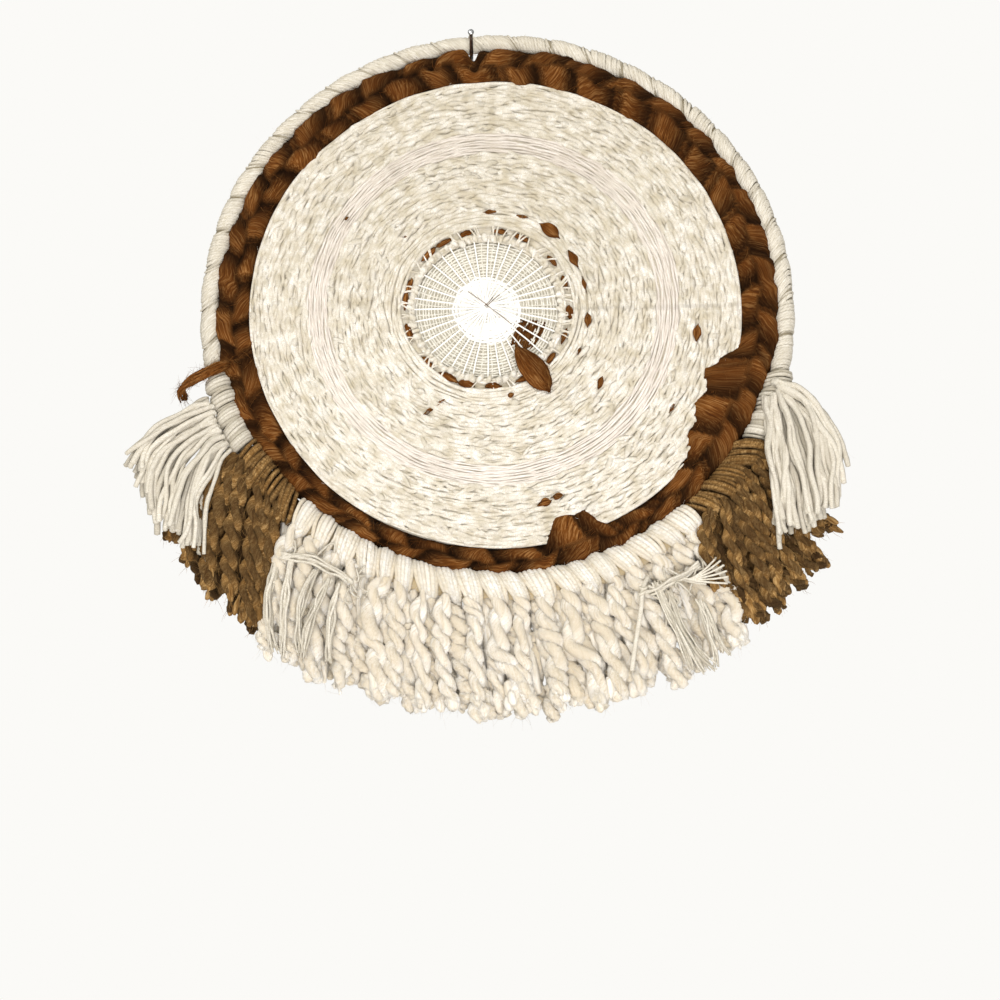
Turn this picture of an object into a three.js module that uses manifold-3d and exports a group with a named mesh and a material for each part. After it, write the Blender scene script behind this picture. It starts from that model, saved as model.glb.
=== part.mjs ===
// Round woven wall hanging on a yarn-wrapped hoop, with knotted fringes and tassels, on its nail.
// Units are millimetres. X runs to the right, Y into the wall and Z up.
// The origin is the point where the nail enters the wall, and the wall is the plane Y = 0.
import * as THREE from "three";
import { mergeVertices } from "three/addons/utils/BufferGeometryUtils.js";
import Module from "manifold-3d";

const wasm = await Module();
wasm.setup();

// Driving dimensions

const seatGap = 0.3; // clear space between two pieces that touch
const sliver = 0.15; // features smaller than this are dropped when strands are joined to their knots
const warpCount = 36; // warp threads, seen as spokes round the centre

const nail = { radius: 1.05, headRadius: 1.6, headLength: 1.4, out: 29.5, inWall: 14, rise: 10, sides: 10 };

// The hoop stands off the wall by the thickness of the knots behind it.
const hoop = { radius: 145.5, depth: -10.2, wrapRadius: 4.4, bareRadius: 3.2, sides: 7, nailAngle: 95.4 };
const wrapBulge = { low: 0.94, high: 1.06, uneven: 0.02 }; // the wrapping's swelling between warp loops
const fullWrap = hoop.wrapRadius * (wrapBulge.high + wrapBulge.uneven);

const disc = { front: -13.4, back: -9, hole: 36, shiftX: -5.4, shiftZ: -2.4, sides: 57 };

const roving = { halfDepth: 6.8, outer: 140.4, lumps: 38, sides: 6, waist: 0.72 };

const gauze = { radius: 35.6, front: -10.4, back: -9.4, denseRadius: 17, denseFront: -11.1 };

const spoke = { outer: 35.6, radius: 0.55, depth: -12.1, knotRadius: 5, knotThickness: 1.3, shiftZ: 1.2 };

// The hoop's centre, worked out from the nail that it hangs on: its tube lies across the sloping nail.
const slope = THREE.MathUtils.degToRad(nail.rise);
const nailReach = fullWrap + nail.radius + seatGap;
const topZ = -hoop.depth * Math.tan(slope) + nailReach / Math.cos(slope);
const nailTurn = THREE.MathUtils.degToRad(hoop.nailAngle);
const centre = new THREE.Vector3(
  -hoop.radius * Math.cos(nailTurn),
  hoop.depth,
  topZ - hoop.radius * Math.sin(nailTurn),
);

// Knot rows along the lower hoop, by angle anticlockwise from the right-hand side, in degrees.
// Their tails hang in layers, and longer is how far a layer's tips go past the row's own tip radius.
const rows = [
  {
    name: "tassel_left", colour: "cream_yarn", from: 195.2, to: 210.6, knots: 5, radius: 7,
    strands: 10, strandRadius: 1.7, sides: 3, steps: 4, twist: 0, flat: 1, lift: 0.4, tipRadius: 198,
    layers: [
      { root: -14.3, tip: -22.4, tipFrom: 202.4, tipTo: 215.6, longer: 0 },
      { root: -11.2, tip: -18, tipFrom: 202, tipTo: 211, longer: -4 },
    ],
  },
  {
    name: "fringe_brown_left", colour: "brown_yarn", from: 211.4, to: 226.6, knots: 4, radius: 8.4,
    strands: 5, strandRadius: 4.5, sides: 4, steps: 5, twist: 38, flat: 0.8, lift: 0.35, tipRadius: 200,
    layers: [
      { root: -14.2, tip: -13.2, tipFrom: 214.4, tipTo: 234.8, longer: 0 },
      { root: -5.8, tip: -4.6, tipFrom: 214.4, tipTo: 234.8, longer: -4 },
    ],
  },
  {
    name: "fringe_cream", colour: "cream_cord", from: 227.4, to: 311.6, knots: 19, radius: 9.3,
    strands: 20, strandRadius: 4.3, sides: 4, steps: 5, twist: 38, flat: 0.8, lift: 0.35, tipRadius: 206,
    layers: [
      { root: -14.4, tip: -14.2, tipFrom: 236.8, tipTo: 307, longer: 0 },
      { root: -5.8, tip: -5.4, tipFrom: 236.8, tipTo: 307, longer: -3 },
    ],
  },
  {
    name: "fringe_brown_right", colour: "brown_yarn", from: 312.4, to: 330.2, knots: 5, radius: 8.4,
    strands: 6, strandRadius: 4.5, sides: 4, steps: 5, twist: 38, flat: 0.8, lift: 0.35, tipRadius: 203,
    layers: [
      { root: -14.2, tip: -13.2, tipFrom: 306.4, tipTo: 326.6, longer: 0 },
      { root: -5.8, tip: -4.6, tipFrom: 306.4, tipTo: 326.6, longer: -4 },
    ],
  },
  {
    name: "tassel_right", colour: "cream_yarn", from: 331, to: 345.6, knots: 4, radius: 7,
    strands: 9, strandRadius: 1.7, sides: 3, steps: 4, twist: 0, flat: 1, lift: 0.45, tipRadius: 187,
    layers: [
      { root: -14.3, tip: -24, tipFrom: 320.6, tipTo: 336.4, longer: 0 },
      { root: -11.2, tip: -18.6, tipFrom: 327, tipTo: 337, longer: -6 },
    ],
  },
];
const tipSpread = 3; // how far a tail's length may differ from its row's
const tipWander = 0.4; // and how far round its tip may hang from its even place, in degrees
const rootReach = 0.55; // a tail starts this share of its knot's radius outside the ring's centre line
// The outline along one knot, by share of its length and of its radius.
const sleeveShape = [{ share: 0, radius: 0.78 }, { share: 0.28, radius: 1 }, { share: 0.72, radius: 0.97 }];

// The part of the hoop that shows its wrapping, in degrees, with the bulges of the warp that loops round it.
const shownHoop = { from: rows.at(-1).to - 360, to: rows[0].from, bumps: 27 };
const hiddenSteps = 26;
const chordSag = 0.2; // how far the bare ring's straight steps stand in from its true circle
const sleeveSides = 7;

// Loose bundles of thin threads that lie in front of the cream fringe.
const threadBundles = [
  { name: "threads_left", from: 231, to: 239, bar: 164, depth: -19.9, strands: 8, tipFrom: 238.6, tipTo: 245.6 },
  { name: "threads_right", from: 295.5, to: 305.5, bar: 165, depth: -20.4, strands: 9, tipFrom: 293.2, tipTo: 301.6 },
];
const thread = { radius: 0.85, tipRadius: 201, tipSpread: 4, tipDepth: -19.4, barRadius: 1.3, bow: 0.9 };

// The woven edge, as radius by angle: a rounder top, and thick roving that comes inwards at lower right.
const edgeTable = [
  { angle: 0, radius: 123.4 }, { angle: 60, radius: 122.2 }, { angle: 90, radius: 121.6 },
  { angle: 120, radius: 122.6 }, { angle: 180, radius: 125.2 }, { angle: 240, radius: 126 },
  { angle: 279, radius: 126 }, { angle: 285, radius: 117.6 }, { angle: 290, radius: 117.2 },
  { angle: 296, radius: 125.6 }, { angle: 312, radius: 126 }, { angle: 321, radius: 121.6 },
  { angle: 329, radius: 115.4 }, { angle: 342, radius: 112.4 }, { angle: 349, radius: 122 },
  { angle: 360, radius: 123.4 },
];

// The woven face, as bands of weft by radius on a disc of even size: how far each stands out.
const wovenRadius = 125;
const weftBands = [
  { radius: disc.hole, proud: 0.3 }, { radius: 38, proud: 1.2 }, { radius: 41, proud: 0.1 },
  { radius: 43.6, proud: 1 }, { radius: 52.5, proud: 1.6 }, { radius: 80.5, proud: 1.5 }, { radius: 83, proud: 1.7 },
  { radius: 84.6, proud: 0.5 }, { radius: 91.6, proud: 0.6 }, { radius: 94, proud: 1.7 },
  { radius: 110, proud: 1.9 }, { radius: 122.5, proud: 1.4 }, { radius: wovenRadius, proud: -0.2 },
];

const leaf = { x: 18.4, z: -32.4, back: -15.2, length: 28, width: 13.5, thickness: 4.4, lean: 27.5 };
const wisp = { rootRadius: 149.9, rootAngle: 193, tipAngle: 195.8, tipRadius: 168, depth: -8.2, thick: 2.1, thin: 0.7, arch: 2.6 };

const materials = {
  cream_yarn: new THREE.MeshStandardMaterial({ color: "#d9d0b8", roughness: 0.95, metalness: 0 }),
  cream_cord: new THREE.MeshStandardMaterial({ color: "#e6decb", roughness: 0.95, metalness: 0 }),
  cream_weft: new THREE.MeshStandardMaterial({ color: "#e9e2d0", roughness: 0.95, metalness: 0 }),
  brown_roving: new THREE.MeshStandardMaterial({ color: "#6b4626", roughness: 0.97, metalness: 0 }),
  brown_yarn: new THREE.MeshStandardMaterial({ color: "#77583a", roughness: 0.97, metalness: 0 }),
  warp_thread: new THREE.MeshStandardMaterial({ color: "#f2efe6", roughness: 0.9, metalness: 0 }),
  nail_steel: new THREE.MeshStandardMaterial({ color: "#9a9a9c", roughness: 0.35, metalness: 1 }),
};

// Small helpers

const unitRing = 10; // radius of a torus of tube radius 1, before it is reshaped to a real ring
const toRadians = THREE.MathUtils.degToRad;
const blendTo = THREE.MathUtils.lerp;

// A repeatable number from -1 to 1 for a place in a row, so that yarn is uneven but the same each time.
function uneven(index, seed = 0) {
  const wave = Math.sin(index * 12.9898 + seed * 78.233) * 43758.5453;
  return 2 * (wave - Math.floor(wave)) - 1;
}

// A point by its radius and angle round the hoop's centre, at a depth from the wall.
function round(radius, degrees, depth) {
  const turn = toRadians(degrees);
  return new THREE.Vector3(centre.x + radius * Math.cos(turn), depth, centre.z + radius * Math.sin(turn));
}

// The smooth value of a table with named columns, at a position along its first column.
function readTable(table, key, value, at) {
  const next = Math.max(1, table.findIndex((row) => row[key] >= at));
  const [low, high] = [table[next - 1], table[next]];
  const share = THREE.MathUtils.smoothstep(at, low[key], high[key]);
  return blendTo(low[value], high[value], share);
}

// The woven edge is a polygon through the table's radii, so that the roving can follow it at an even gap.
function edgeAt(degrees) {
  const pitch = 360 / disc.sides;
  const side = Math.floor(degrees / pitch + 1e-6);
  const [low, high] = [side, side + 1].map((corner) =>
    readTable(edgeTable, "angle", "radius", THREE.MathUtils.euclideanModulo(corner * pitch, 360)),
  );
  const [fromLow, toHigh] = [toRadians(degrees - side * pitch), toRadians((side + 1) * pitch - degrees)];
  return (low * high * Math.sin(toRadians(pitch))) / (low * Math.sin(fromLow) + high * Math.sin(toHigh));
}

// The row of knots at an angle, if there is one.
const rowAt = (degrees) => rows.find((row) => degrees > row.from - 0.9 && degrees < row.to + 0.9);

// Moves each point of a geometry by a function, in place.
function reshape(geometry, move) {
  const places = geometry.attributes.position;
  const point = new THREE.Vector3();
  for (let i = 0; i < places.count; i++) {
    point.fromBufferAttribute(places, i);
    move(point);
    places.setXYZ(i, point.x, point.y, point.z);
  }
  return geometry;
}

// A closed geometry as a manifold solid, with its seams merged.
function solidOf(geometry) {
  const bare = geometry.clone();
  bare.deleteAttribute("normal");
  bare.deleteAttribute("uv");
  const merged = mergeVertices(bare, 1e-4);
  const index = merged.index.array;
  const faces = [];
  for (let i = 0; i < index.length; i += 3) {
    const [a, b, c] = [index[i], index[i + 1], index[i + 2]];
    if (a !== b && b !== c && c !== a) faces.push(a, b, c);
  }
  return new wasm.Manifold(
    new wasm.Mesh({
      numProp: 3,
      vertProperties: new Float32Array(merged.attributes.position.array),
      triVerts: new Uint32Array(faces),
    }),
  );
}

// A manifold solid as a named mesh.
function meshOf(solid, name, material) {
  const made = solid.getMesh();
  const geometry = new THREE.BufferGeometry();
  geometry.setAttribute("position", new THREE.BufferAttribute(new Float32Array(made.vertProperties), 3));
  geometry.setIndex(new THREE.BufferAttribute(new Uint32Array(made.triVerts), 1));
  geometry.computeVertexNormals();
  const mesh = new THREE.Mesh(geometry, material);
  mesh.name = name;
  return mesh;
}

// Several solids as one, without the slivers that joining leaves.
const joined = (solids) => solids.reduce((sum, next) => sum.add(next)).simplify(sliver);

// A closed cylinder carried along a curve that runs roughly in the wall's plane.
// thickness gives the radius by share of the length, and the section turns by twist degrees a step.
function strandSolid(curve, { sides, steps, thickness, twist = 0, flat = 1, startTurn = 0 }) {
  const bar = new THREE.CylinderGeometry(1, 1, 1, sides, steps);
  reshape(bar, (point) => {
    const share = 0.5 - point.y;
    const along = curve.getTangent(share);
    const across = new THREE.Vector3().crossVectors(along, new THREE.Vector3(0, 1, 0)).normalize();
    const out = new THREE.Vector3().crossVectors(across, along);
    const turn = toRadians(startTurn + twist * steps * share);
    const [x, z] = [point.x * flat, point.z];
    const wide = thickness(share) * (x * Math.cos(turn) - z * Math.sin(turn));
    const deep = thickness(share) * (x * Math.sin(turn) + z * Math.cos(turn));
    point.copy(curve.getPoint(share)).addScaledVector(across, wide).addScaledVector(out, deep);
  });
  return facingOut(solidOf(bar));
}

// Turns a solid's faces round if a mapping has mirrored it.
function facingOut(solid) {
  if (solid.volume() > 0) return solid;
  const made = solid.getMesh();
  const faces = new Uint32Array(made.triVerts);
  for (let i = 0; i < faces.length; i += 3) [faces[i + 1], faces[i + 2]] = [faces[i + 2], faces[i + 1]];
  return new wasm.Manifold(new wasm.Mesh({ numProp: 3, vertProperties: made.vertProperties, triVerts: faces }));
}

// Pieces

// The nail slopes up towards the room, and the hoop hangs on it.
function nailMesh() {
  const { radius, headRadius, headLength, out, inWall, sides } = nail;
  const profile = [
    [0, -inWall], [radius, -inWall + 3 * radius], [radius, out - headLength],
    [headRadius, out - headLength / 2], [headRadius, out], [0, out],
  ].map(([x, y]) => new THREE.Vector2(x, y));
  const turned = new THREE.LatheGeometry(profile, sides);
  turned.rotateX(Math.PI - slope);
  return meshOf(facingOut(solidOf(turned)), "nail", materials.nail_steel);
}

// The wrapped hoop: fat with yarn where it shows, and only the ring itself inside the knots.
function hoopMesh() {
  const stepsPerBump = 3;
  const spans = [
    { from: shownHoop.from, to: shownHoop.to, steps: shownHoop.bumps * stepsPerBump, isWrapped: true },
    { from: shownHoop.to, to: shownHoop.from + 360, steps: hiddenSteps, isWrapped: false },
  ];
  const stations = spans.flatMap(({ from, to, steps, isWrapped }) =>
    Array.from({ length: steps }, (_, step) => {
      const bulge = step % stepsPerBump === 0 ? wrapBulge.low : wrapBulge.high + wrapBulge.uneven * uneven(step, 3);
      const tube = isWrapped && step > 0 ? hoop.wrapRadius * bulge : hoop.bareRadius;
      return { degrees: blendTo(from, to, step / steps), tube };
    }),
  );
  const ring = new THREE.TorusGeometry(unitRing, 1, hoop.sides, stations.length);
  reshape(ring, (point) => {
    const share = THREE.MathUtils.euclideanModulo(Math.atan2(point.y, point.x) / (2 * Math.PI), 1);
    const { degrees, tube } = stations[Math.round(share * stations.length) % stations.length];
    const out = Math.hypot(point.x, point.y) - unitRing;
    point.copy(round(hoop.radius + out * tube, degrees, hoop.depth - point.z * tube));
  });
  return meshOf(facingOut(solidOf(ring)), "hoop_wrapped", materials.cream_yarn);
}

// The roving ring: one thick rope of unspun wool, nipped by each warp thread into a lump.
function rovingMesh() {
  const stepsPerLump = 3;
  const steps = roving.lumps * stepsPerLump;
  const ring = new THREE.TorusGeometry(unitRing, 1, roving.sides, steps);
  reshape(ring, (point) => {
    const degrees = THREE.MathUtils.euclideanModulo(THREE.MathUtils.radToDeg(Math.atan2(point.y, point.x)), 360);
    const step = Math.round((degrees / 360) * steps) % steps;
    const place = (360 / steps) * step;
    const row = rowAt(place);
    const inner = edgeAt(place) + seatGap;
    const outer = row ? Math.min(roving.outer, hoop.radius - row.radius - 2 * seatGap) : roving.outer;
    const isWaist = step % stepsPerLump === 0;
    const full = isWaist ? roving.waist : 1 + 0.05 * uneven(step, 6);
    const half = (outer - inner) * (isWaist ? 0.45 : 0.5);
    const radial = Math.hypot(point.x, point.y) - unitRing;
    point.copy(round(inner + half + radial * half, place, hoop.depth - point.z * roving.halfDepth * full));
  });
  const [wallEnd, roomEnd] = [0, nail.out].map((out) => new THREE.Vector3(0, -out, out * Math.tan(slope)));
  const nailWay = strandSolid(new THREE.LineCurve3(wallEnd, roomEnd), {
    sides: 6, steps: 1, thickness: () => (nail.radius + seatGap) / Math.cos(Math.PI / 6),
  });
  const solid = facingOut(solidOf(ring)).subtract(nailWay);
  return meshOf(solid, "roving_ring", materials.brown_roving);
}

// The woven disc: weft wound round the warp in bands, slightly off centre, with a hole for the open middle.
function discMesh() {
  const middle = (disc.front + disc.back) / 2;
  const profile = [
    ...weftBands.map((band) => [band.radius, disc.front - band.proud]),
    [wovenRadius, middle + 1.6], [wovenRadius - 3, disc.back], [disc.hole + 6, disc.back],
    [disc.hole, disc.back - 1.2], [disc.hole, disc.front - weftBands[0].proud],
  ].map(([x, y]) => new THREE.Vector2(x, y));
  const turned = new THREE.LatheGeometry(profile, disc.sides);
  turned.rotateY(Math.PI / 2); // brings the sides' corners to whole multiples of their pitch
  reshape(turned, (point) => {
    const even = Math.hypot(point.x, point.z);
    const degrees = THREE.MathUtils.radToDeg(Math.atan2(point.z, point.x));
    const share = (even - disc.hole) / (wovenRadius - disc.hole);
    const edgeward = THREE.MathUtils.smoothstep(even, 92, wovenRadius); // the inner bands stay round
    const side = Math.round(THREE.MathUtils.euclideanModulo(degrees, 360) / (360 / disc.sides));
    const isFace = point.y < disc.front && share > 0.08 && share < 0.98;
    const ripple = isFace ? 0.3 * uneven(side, Math.round(share * 100)) : 0;
    point.copy(round(even + edgeward * (edgeAt(degrees) - wovenRadius), degrees, point.y + ripple));
    point.x += disc.shiftX * (1 - share);
    point.z += disc.shiftZ * (1 - share);
  });
  return meshOf(facingOut(solidOf(turned)), "woven_disc", materials.cream_weft);
}

// The open middle: a plate of fine thread woven on the rear warp threads, packed closer at its centre.
function gauzeMesh() {
  const { radius, front, back, denseRadius, denseFront } = gauze;
  const profile = [
    [0, back], [radius, back], [radius, front],
    [denseRadius + 1.5, front], [denseRadius, denseFront], [0, denseFront],
  ].map(([x, y]) => new THREE.Vector2(x, y));
  const plate = new THREE.LatheGeometry(profile, warpCount);
  plate.translate(centre.x + disc.shiftX, 0, centre.z + disc.shiftZ);
  return meshOf(facingOut(solidOf(plate)), "centre_gauze", materials.warp_thread);
}

// The front warp threads, which cross the open middle and meet in a knot.
function spokesMesh() {
  const middle = new THREE.Vector3(centre.x + disc.shiftX, spoke.depth, centre.z + disc.shiftZ + spoke.shiftZ);
  const knot = new THREE.CylinderGeometry(spoke.knotRadius, spoke.knotRadius, spoke.knotThickness, warpCount / 2);
  knot.translate(middle.x, middle.y, middle.z);
  const parts = [facingOut(solidOf(knot))];
  for (let i = 0; i < warpCount; i++) {
    const turn = toRadians((360 / warpCount) * i + 1.2 * uneven(i, 8));
    const outward = new THREE.Vector3(Math.cos(turn), 0, Math.sin(turn));
    const start = middle.clone().addScaledVector(outward, spoke.knotRadius - 1);
    const end = middle.clone().addScaledVector(outward, spoke.outer);
    end.z -= spoke.shiftZ;
    const line = new THREE.LineCurve3(start, end);
    parts.push(strandSolid(line, { sides: 3, steps: 1, thickness: () => spoke.radius, startTurn: 90 }));
  }
  return meshOf(joined(parts), "warp_spokes", materials.warp_thread);
}

// A row of knots on the hoop, as one lumpy sleeve that is open for the ring.
function knotSleeve(row) {
  const bore = (hoop.bareRadius + seatGap + chordSag) / Math.cos(Math.PI / sleeveSides);
  const outside = [];
  const inside = [];
  for (let knot = 0; knot < row.knots; knot++) {
    const size = row.radius * (1 + 0.03 * uneven(knot, 11));
    for (const { share, radius } of sleeveShape) outside.push([size * radius, (knot + share) / row.knots]);
    inside.unshift([bore, knot / row.knots]);
  }
  const end = [row.radius * sleeveShape[0].radius, 1];
  const profile = [...outside, end, [bore, 1], ...inside, outside[0]].map(([x, y]) => new THREE.Vector2(x, y));
  const turned = new THREE.LatheGeometry(profile, sleeveSides);
  reshape(turned, (point) => {
    const angle = blendTo(row.from, row.to, point.y);
    point.copy(round(hoop.radius + point.x, angle, hoop.depth + point.z));
  });
  return facingOut(solidOf(turned));
}

// The tails of a row of knots, from their roots in the sleeve to their cut ends.
// The rear layer hangs in the gaps of the front one.
function tailSolids(row) {
  return row.layers.flatMap((layer, level) =>
    Array.from({ length: row.strands - level }, (_, i) => {
      const share = (i + 0.5 + 0.5 * level) / row.strands;
      const seed = level * 7 + row.knots;
      const rootAngle = blendTo(row.from, row.to, share);
      const tipAngle = blendTo(layer.tipFrom, layer.tipTo, share) + tipWander * uneven(i, seed + 1);
      const tipRadius = row.tipRadius + layer.longer + tipSpread * uneven(i, seed);
      const rootRadius = hoop.radius + row.radius * rootReach;
      const root = round(rootRadius, rootAngle, layer.root);
      const tip = round(tipRadius, tipAngle, layer.tip);
      const reach = (tipRadius - rootRadius) * row.lift;
      const bend = round(rootRadius + reach, rootAngle, blendTo(layer.root, layer.tip, 0.7));
      const curve = new THREE.QuadraticBezierCurve3(root, bend, tip);
      const thickness = (along) => row.strandRadius * (along > 0.99 ? 0.75 : blendTo(0.94, 1.04, along));
      return strandSolid(curve, { ...row, thickness, startTurn: 45 * uneven(i, seed + 2) });
    }),
  );
}

function rowMesh(row) {
  return meshOf(joined([knotSleeve(row), ...tailSolids(row)]), row.name, materials[row.colour]);
}

// A loose bundle: a short wound bar with thin threads hanging from it.
function threadMesh(bundle) {
  const barMiddle = (bundle.from + bundle.to) / 2;
  const ends = [bundle.from, barMiddle, bundle.to].map((angle) => round(bundle.bar, angle, bundle.depth));
  const bar = strandSolid(new THREE.QuadraticBezierCurve3(...ends), {
    sides: 5, steps: 3, thickness: (share) => thread.barRadius * (share > 0.02 && share < 0.98 ? 1 : 0.6),
  });
  const parts = [bar];
  for (let i = 0; i < bundle.strands; i++) {
    const share = (i + 0.5) / bundle.strands;
    const root = round(bundle.bar, blendTo(bundle.from, bundle.to, share), bundle.depth);
    const tipRadius = thread.tipRadius + thread.tipSpread * uneven(i, 21);
    const tip = round(tipRadius, blendTo(bundle.tipFrom, bundle.tipTo, share), thread.tipDepth);
    const bend = root.clone().lerp(tip, 0.5).add(new THREE.Vector3(0, -thread.bow, 0));
    const curve = new THREE.QuadraticBezierCurve3(root, bend, tip);
    parts.push(strandSolid(curve, { sides: 3, steps: 2, thickness: () => thread.radius, startTurn: 30 }));
  }
  return meshOf(joined(parts), bundle.name, materials.cream_yarn);
}

// A leaf-shaped end of roving that lies on the weave below the middle.
function leafMesh() {
  const leafSeat = 0.2; // its back is flat, at this share of its thickness behind its middle
  const body = new THREE.SphereGeometry(0.5, 10, 8);
  body.scale(leaf.width, leaf.length, leaf.thickness);
  reshape(body, (point) => {
    const tipward = 1 - Math.pow(Math.abs(point.y) / (leaf.length / 2), 2.4);
    point.x *= 0.55 + 0.45 * tipward;
    point.z = Math.max(point.z, -leaf.thickness * leafSeat);
  });
  body.rotateZ(toRadians(leaf.lean));
  reshape(body, (point) => {
    const depth = leaf.back - leaf.thickness * leafSeat - point.z;
    point.set(centre.x + leaf.x + point.x, depth, centre.z + leaf.z + point.y);
  });
  return meshOf(facingOut(solidOf(body)), "roving_leaf", materials.brown_roving);
}

// A wisp of roving that sticks out past the hoop beside the left tassel.
function wispMesh() {
  const root = round(wisp.rootRadius, wisp.rootAngle, wisp.depth);
  const tip = round(wisp.tipRadius, wisp.tipAngle, wisp.depth);
  const bend = root.clone().lerp(tip, 0.5).add(new THREE.Vector3(-wisp.arch / 2, 0, wisp.arch));
  const curve = new THREE.QuadraticBezierCurve3(root, bend, tip);
  const thickness = (share) => blendTo(wisp.thin, wisp.thick, Math.sin(Math.PI * (0.04 + 0.9 * share)));
  const solid = strandSolid(curve, { sides: 5, steps: 5, thickness, twist: 20, flat: 0.7 });
  return meshOf(solid, "roving_wisp", materials.brown_roving);
}

const hanging = new THREE.Group();
hanging.add(
  nailMesh(), hoopMesh(), rovingMesh(), discMesh(), gauzeMesh(), spokesMesh(),
  ...rows.map(rowMesh),
  ...threadBundles.map(threadMesh),
  leafMesh(), wispMesh(),
);

export default hanging;
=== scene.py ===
import math

import bpy
import numpy as np
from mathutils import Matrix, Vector


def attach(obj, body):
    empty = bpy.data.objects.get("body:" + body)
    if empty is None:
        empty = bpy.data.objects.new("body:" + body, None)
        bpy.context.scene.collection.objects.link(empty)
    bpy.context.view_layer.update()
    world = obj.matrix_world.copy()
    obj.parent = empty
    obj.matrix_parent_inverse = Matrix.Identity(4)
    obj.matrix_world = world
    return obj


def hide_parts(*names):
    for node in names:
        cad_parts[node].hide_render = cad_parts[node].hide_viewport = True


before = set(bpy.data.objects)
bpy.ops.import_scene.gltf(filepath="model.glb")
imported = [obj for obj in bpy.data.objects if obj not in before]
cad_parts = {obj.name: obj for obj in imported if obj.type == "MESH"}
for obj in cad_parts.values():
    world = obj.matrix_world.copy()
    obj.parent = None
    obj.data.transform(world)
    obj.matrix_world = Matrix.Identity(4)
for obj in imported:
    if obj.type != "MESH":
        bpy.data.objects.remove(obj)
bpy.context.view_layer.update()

# the CAD's hoop: its middle, its centre line's radius and the bare ring's own
hoop = {"centre": (13.69, -10.2, -136.9), "radius": 145.5, "bare": 3.2}
hoopMiddle = np.array(hoop["centre"])


# numbers that are uneven, but the same each run

def hashed(whole, seed=0):
    wave = np.sin(np.asarray(whole, float) * 12.9898 + seed * 78.233) * 43758.5453
    return 2 * (wave - np.floor(wave)) - 1


def waver(place, seed=0, around=None):
    # smooth numbers from -1 to 1 along a line, a fresh one at each whole step; around closes the line
    low = np.floor(place)
    part = place - low
    part = part * part * (3 - 2 * part)
    high = low + 1
    if around:
        low, high = low % around, high % around
    return hashed(low, seed) * (1 - part) + hashed(high, seed) * part


def blendTo(low, high, share):
    return low + (high - low) * share


def easeIn(low, high, value):
    share = np.clip((value - low) / (high - low), 0, 1)
    return share * share * (3 - 2 * share)


# paths and directions

def unit(vectors):
    return vectors / np.maximum(np.linalg.norm(vectors, axis=-1, keepdims=True), 1e-9)


def onRing(radius, degrees, depth, centre=hoopMiddle):
    # points by radius and angle round the hoop's middle, or another
    radius, degrees, depth = np.broadcast_arrays(radius, degrees, depth)
    turn = np.radians(degrees)
    return np.stack([centre[0] + radius * np.cos(turn), np.asarray(depth, float),
                     centre[2] + radius * np.sin(turn)], axis=-1)


def ringTangent(degrees):
    turn = np.radians(degrees)
    return np.stack([-np.sin(turn), 0 * turn, np.cos(turn)], axis=-1)


def ringOutward(degrees):
    turn = np.radians(degrees)
    return np.stack([np.cos(turn), 0 * turn, np.sin(turn)], axis=-1)


def roundTube(tube, phase, degrees):
    # points on a tube that follows the hoop: phase turns from its outer side to the back
    return onRing(hoop["radius"] + tube * np.cos(phase), degrees, hoopMiddle[1] + tube * np.sin(phase))


def arcPath(points, stations):
    # a quadratic curve through a root, a bend and a tip, for many strands at once: (strands, stations, 3)
    root, bend, tip = [np.atleast_2d(p)[:, None, :] for p in points]
    along = np.linspace(0, 1, stations)[None, :, None]
    return (1 - along) ** 2 * root + 2 * along * (1 - along) * bend + along ** 2 * tip


def guidedPaths(guides, count, stations, seed, spread=0.0, order=0.35):
    # strands between listed guides, each of them a root, a middle and a tip in x, y and z
    rows = np.array(guides, float).reshape(len(guides), 9)
    number = np.arange(count)
    share = np.clip((number + 0.5 + order * hashed(number, seed)) / count, 0, 1) * (len(rows) - 1)
    places = np.stack([np.interp(share, np.arange(len(rows)), column) for column in rows.T], -1)
    strays = np.stack([hashed(number[:, None] + 17 * np.arange(3), seed + axis) for axis in range(3)], -1)
    places = places.reshape(count, 3, 3) + spread * np.array([0.35, 0.8, 1.0])[None, :, None] * strays
    root, through, tip = places[:, 0], places[:, 1], places[:, 2]
    return arcPath([root, 2 * through - (root + tip) / 2, tip], stations)


def framesOf(paths, reference, closed):
    ahead = np.roll(paths, -1, 1) - np.roll(paths, 1, 1) if closed else np.gradient(paths, axis=1)
    ahead = unit(ahead)
    across = unit(np.cross(ahead, np.broadcast_to(reference, ahead.shape)))
    return ahead, across, np.cross(across, ahead)


def swayOf(along, *rows):
    # smooth sideways waves in x, y and z along a path: a size, a wave's length and a seed for each
    return np.stack([size * waver(along / length, seed) for size, length, seed in rows], -1)


def lengthsOf(paths):
    steps = np.linalg.norm(np.diff(paths, axis=1), axis=-1)
    return np.concatenate([np.zeros((len(paths), 1)), np.cumsum(steps, axis=1)], axis=1)


# parts: points with their fibre direction and shade, and the faces between them

def netQuads(rings, stations, sides):
    # the faces between each ring of points and the next
    here = (np.arange(rings) * sides)[:, None]
    there = ((np.arange(rings) + 1) % stations * sides)[:, None]
    now, after = np.arange(sides), (np.arange(sides) + 1) % sides
    corners = np.broadcast_arrays(here + now, here + after, there + after, there + now)
    return np.stack(corners, axis=-1).reshape(-1, 4)


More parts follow.
